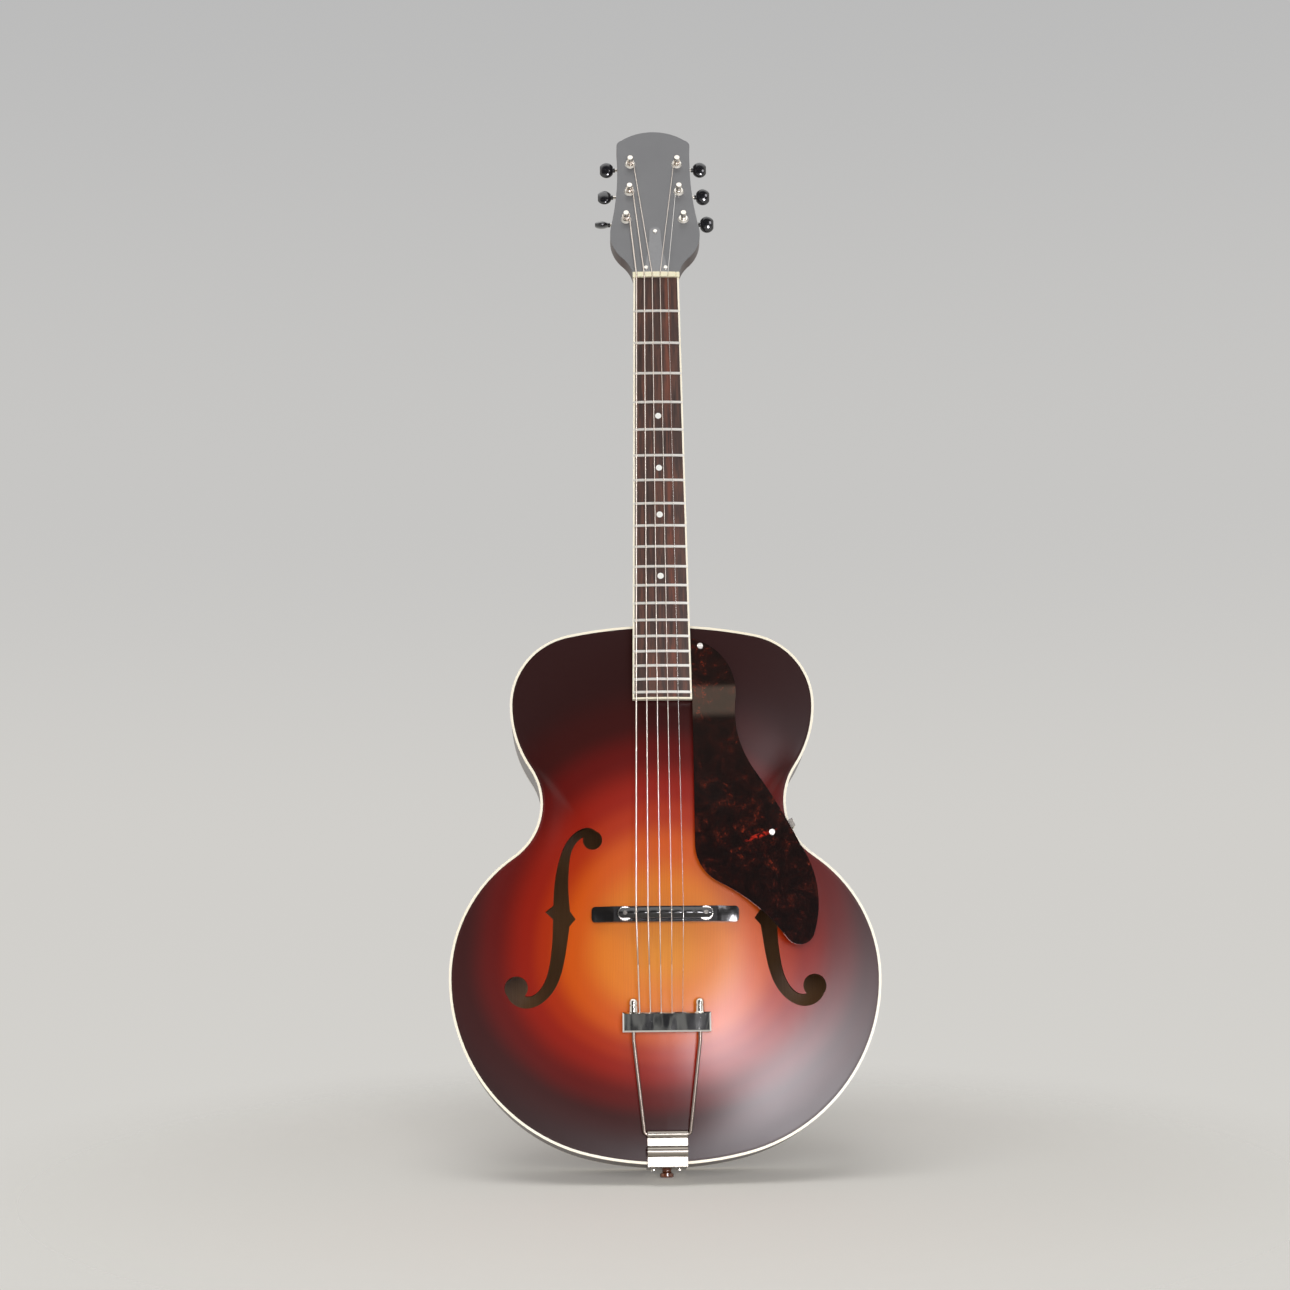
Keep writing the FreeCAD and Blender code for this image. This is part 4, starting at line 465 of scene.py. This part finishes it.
# Pickguard: polished celluloid sheet in a dark tortoiseshell pattern, held off the top by a spacer
# at the shoulder and a metal strip to the rim. The strip shows through it as a red streak.
STREAK_X, STREAK_Z = 0.0900, 0.3015
STREAK_RISE = 0.36
STREAK_LENGTH_SQUARED, STREAK_WIDTH_SQUARED = 0.00022, 0.000006
shell_finish, place = finish("shell_finish", Coat_Weight=1.0, Coat_Roughness=0.01)
x, _, z = place.parts()
clouds = place.stretched(1, 0.3, 1.2).noise(16.0, 4.0, roughness=0.6, distortion=0.6)
drift = place.stretched(1, 0.3, 1).noise(70.0, 4.0, roughness=0.65, distortion=0.8)
flecks = place.stretched(1, 0.3, 1).noise(240.0, 4.0, roughness=0.7, distortion=0.6)
shell = drift.ramp([(0.36, ink(17, 7, 6)), (0.54, ink(28, 10, 8)), (0.72, ink(58, 20, 13))])
spark = flecks.step(0.50, 0.72) * drift.step(0.46, 0.66) * clouds.step(0.30, 0.62)
along = x - STREAK_X
across = z - STREAK_Z - along * STREAK_RISE
away = along * along / STREAK_LENGTH_SQUARED + across * across / STREAK_WIDTH_SQUARED
near = 1.0 - away.step(0.2, 1.4)
streak = near * flecks.step(0.40, 0.66) * 0.9
mottle = (spark * 0.9).mix(shell, ink(140, 46, 20))
dress(shell_finish, {"Base Color": streak.mix(mottle, ink(206, 42, 24)),
                     "Roughness": flecks * 0.05 + 0.12}, "pickguard")
dress(nickel_finish, {}, "pickguard_supports")
dress(satin_finish, {}, "pickguard_screws")
ease_edges(0.0004, "pickguard_screws")


# Strings: four are wound with nickel wire on a steel core and the fifth is plain steel. Each runs
# from its ball in the channel over the saddle and the nut to its post, where it is wound on.
# It is cut at the saddle and behind it, into three pieces.
SADDLE_LOW, SADDLE_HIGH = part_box("bridge_saddle")
BAR_HIGH_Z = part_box("tailpiece_crossbar")[1].z
SADDLE_Z = (SADDLE_LOW.z + SADDLE_HIGH.z) / 2
TAIL_MIDDLE_Z = (SADDLE_LOW.z + BAR_HIGH_Z) / 2
FITTED, WOUND = 5, 4
WRAP_PITCH = 0.00042
SAME_POINT = 1e-7

wound_finish, place = finish("wound_string_finish", Metallic=1.0)
wrap = place.maths("SINE", place.parts()[2] * (2 * math.pi / WRAP_PITCH))
handled = place.noise(40.0, 3.0)
wire_colour = handled.mix(ink(236, 228, 220), ink(212, 198, 184))
dress(wound_finish, {"Base Color": wire_colour, "Roughness": handled * 0.2 + 0.22,
                     "Normal": wrap.bump(0.35, 0.0001)})
plain_finish, place = finish("plain_string_finish", Metallic=1.0)
handled = place.noise(60.0, 3.0)
dress(plain_finish, {"Base Color": handled.mix(ink(240, 238, 234), ink(214, 210, 204)),
                     "Roughness": handled * 0.2 + 0.15})


def string_length(name, node, low, high, material):
    """The part of a string's solid between two heights, closed where it is cut."""
    mesh = bmesh.new()
    mesh.from_mesh(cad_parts[node].data)
    bmesh.ops.remove_doubles(mesh, verts=mesh.verts, dist=SAME_POINT)
    for height, way in ((low, -1), (high, 1)):
        if height is None:
            continue
        cut = bmesh.ops.bisect_plane(mesh, geom=mesh.verts[:] + mesh.edges[:] + mesh.faces[:],
                                     plane_co=(0, 0, height), plane_no=(0, 0, way),
                                     clear_outer=True)
        rims = [item for item in cut["geom_cut"] if isinstance(item, bmesh.types.BMEdge)]
        bmesh.ops.holes_fill(mesh, edges=rims)
    for face in mesh.faces:
        face.smooth = True
    data = bpy.data.meshes.new(name)
    mesh.to_mesh(data)
    mesh.free()
    data.materials.append(material)
    piece = bpy.data.objects.new(name, data)
    bpy.context.scene.collection.objects.link(piece)
    return piece


for number in range(1, FITTED + 1):
    node = f"string_{number}"
    material = wound_finish if number <= WOUND else plain_finish
    played = string_length(f"{node}_played", node, SADDLE_Z, None, material)
    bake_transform(played)
    behind = string_length(f"{node}_behind_saddle", node, TAIL_MIDDLE_Z, SADDLE_Z, material)
    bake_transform(behind)
    tail = string_length(f"{node}_at_tailpiece", node, None, TAIL_MIDDLE_Z, material)
    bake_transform(tail)
    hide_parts(node)


# Stage: a pale round floor that fades into a plain grey background.
# It is tilted, since the guitar leans back on it, and lies just below the strap button.
LEAN = math.radians(13.0)
FLOOR_REACH = 0.75
FLOOR_FADE = 0.35
FLOOR_GAP = 0.0002
FLOOR_COLOUR = ink(214, 211, 205)
floor_mesh = bmesh.new()
bmesh.ops.create_circle(floor_mesh, cap_ends=True, segments=96, radius=FLOOR_REACH)
bmesh.ops.rotate(floor_mesh, verts=floor_mesh.verts, cent=(0, 0, 0),
                 matrix=Matrix.Rotation(LEAN, 3, "X"))
bmesh.ops.translate(floor_mesh, verts=floor_mesh.verts, vec=(0, 0, cad_low.z - FLOOR_GAP))
floor_data = bpy.data.meshes.new("floor")
floor_mesh.to_mesh(floor_data)
floor_mesh.free()
floor = bpy.data.objects.new("floor", floor_data)
bpy.context.scene.collection.objects.link(floor)
floor_finish, place = finish("floor_finish", Base_Color=FLOOR_COLOUR, Roughness=0.8,
                             Specular_IOR_Level=0.1, Emission_Color=FLOOR_COLOUR,
                             Emission_Strength=0.20)
reach = place.node("ShaderNodeVectorMath", {"operation": "LENGTH"}, {"Vector": place}, "Value")
fade = 1.0 - reach.step(FLOOR_FADE, FLOOR_REACH)
dress(floor_finish, {"Alpha": fade})
floor_data.materials.append(floor_finish)


# World: a grey background, a little lighter low down. What metal and lacquer mirror is the room:
# pale walls at the sides, a bright ceiling, and a dark end behind the camera with a lit ledge.
PALE_WALL = (1.15, 1.12, 1.08, 1.0)
CEILING = (2.0, 2.0, 2.0, 1.0)
GROUND = (0.85, 0.84, 0.81, 1.0)
DARK_END = (0.015, 0.015, 0.018, 1.0)
DIM_SHAPES = (0.15, 0.15, 0.145, 1.0)
LIT_LEDGE = (1.5, 1.15, 0.88, 1.0)
world = bpy.data.worlds.new("studio")
bpy.context.scene.world = world
world.use_nodes = True
tree = world.node_tree
light_path = tree.nodes.new("ShaderNodeLightPath")
seen = Wire(tree, light_path.outputs["Is Camera Ray"])
mirrored = Wire(tree, light_path.outputs["Is Glossy Ray"])
way = Wire(tree, tree.nodes.new("ShaderNodeTexCoord").outputs["Generated"])
_, y, z = way.parts()
backdrop = z.ramp([(0.0, ink(214, 212, 207)), (0.14, ink(209, 207, 203)),
                   (0.26, ink(199, 198, 196)), (0.45, ink(186, 186, 186))])
walls = y.step(-0.3, 0.2).mix(PALE_WALL, backdrop)
above = z.step(0.60, 0.85).mix(walls, CEILING)
lit = z.step(-0.35, -0.15).mix(GROUND, above)
end = (0.0 - y).step(0.50, 0.80) * z.step(-0.42, -0.16)
shapes = way.stretched(19, 19, 8).noise(1.0, 2.0).step(0.53, 0.63)
dark = shapes.mix(DARK_END, DIM_SHAPES)
ledge = z.step(0.3215, 0.3245) * (1.0 - z.step(0.3310, 0.3330))
room = end.mix(lit, ledge.mix(dark, LIT_LEDGE))
fill = mirrored.mix(ink(150, 150, 150), room)
sky = tree.nodes["Background"]
tree.links.new(seen.mix(fill, backdrop).socket, sky.inputs["Color"])


# Lamps: soft light from beside the camera and from above, hidden from the lacquer's gloss, and two
# windows on the right that only gloss shows. The low one puts the sheen on the satin top.
PLAIN_LIGHT = (1.0, 1.0, 1.0)
WINDOW_LIGHT = (0.97, 0.95, 1.0)


def lamp(name, spot, aim, width, height, power, gloss=False, turn=0.0):
    """A rectangular lamp that faces a point, seen either by gloss alone or by all but gloss."""
    data = bpy.data.lights.new(name, "AREA")
    data.shape = "RECTANGLE"
    data.size = width
    data.size_y = height
    data.energy = power
    data.color = WINDOW_LIGHT if gloss else PLAIN_LIGHT
    item = bpy.data.objects.new(name, data)
    item.location = spot
    facing = (Vector(aim) - Vector(spot)).to_track_quat("-Z", "Y")
    item.rotation_euler = (facing @ Quaternion((0, 0, 1), math.radians(turn))).to_euler()
    item.visible_glossy = gloss
    item.visible_diffuse = not gloss
    bpy.context.scene.collection.objects.link(item)


lamp("front", spot=(0.1, -3.2, 0.15), aim=(0, 0, 0.35), width=1.8, height=1.4, power=62.0)
lamp("overhead", spot=(-0.4, -1.4, 2.8), aim=(0, 0, 0.5), width=2.4, height=1.6, power=30.0)
lamp("high_window", spot=(1.18, -1.97, 1.29), aim=(0.1, 0, 0.40), width=0.7, height=0.7,
     power=10.0, gloss=True)
lamp("window", spot=(0.665, -2.47, -0.16), aim=(0.1, 0, 0.15), width=0.80, height=0.55,
     power=66.0, gloss=True, turn=-45)


# Camera: the photograph's place and turn, worked out from the body's outline.
# It stands low in front and looks up the guitar, which leans back.
CAMERA_SPOT = (-0.07624, -2.82030, -0.11163)
PAN, TILT, ROLL = (math.radians(angle) for angle in (1.2545, 12.2062, -0.6767))
camera_data = bpy.data.cameras.new("camera")
camera_data.lens = 83.107
camera_data.sensor_width = 36.0
camera = bpy.data.objects.new("camera", camera_data)
camera.matrix_world = (Matrix.Translation(CAMERA_SPOT) @ Matrix.Rotation(-PAN, 4, "Z")
                       @ Matrix.Rotation(math.pi / 2 + TILT, 4, "X")
                       @ Matrix.Rotation(ROLL, 4, "Z"))
bpy.context.scene.collection.objects.link(camera)
bpy.context.scene.camera = camera
bpy.context.scene.view_settings.view_transform = "Standard"
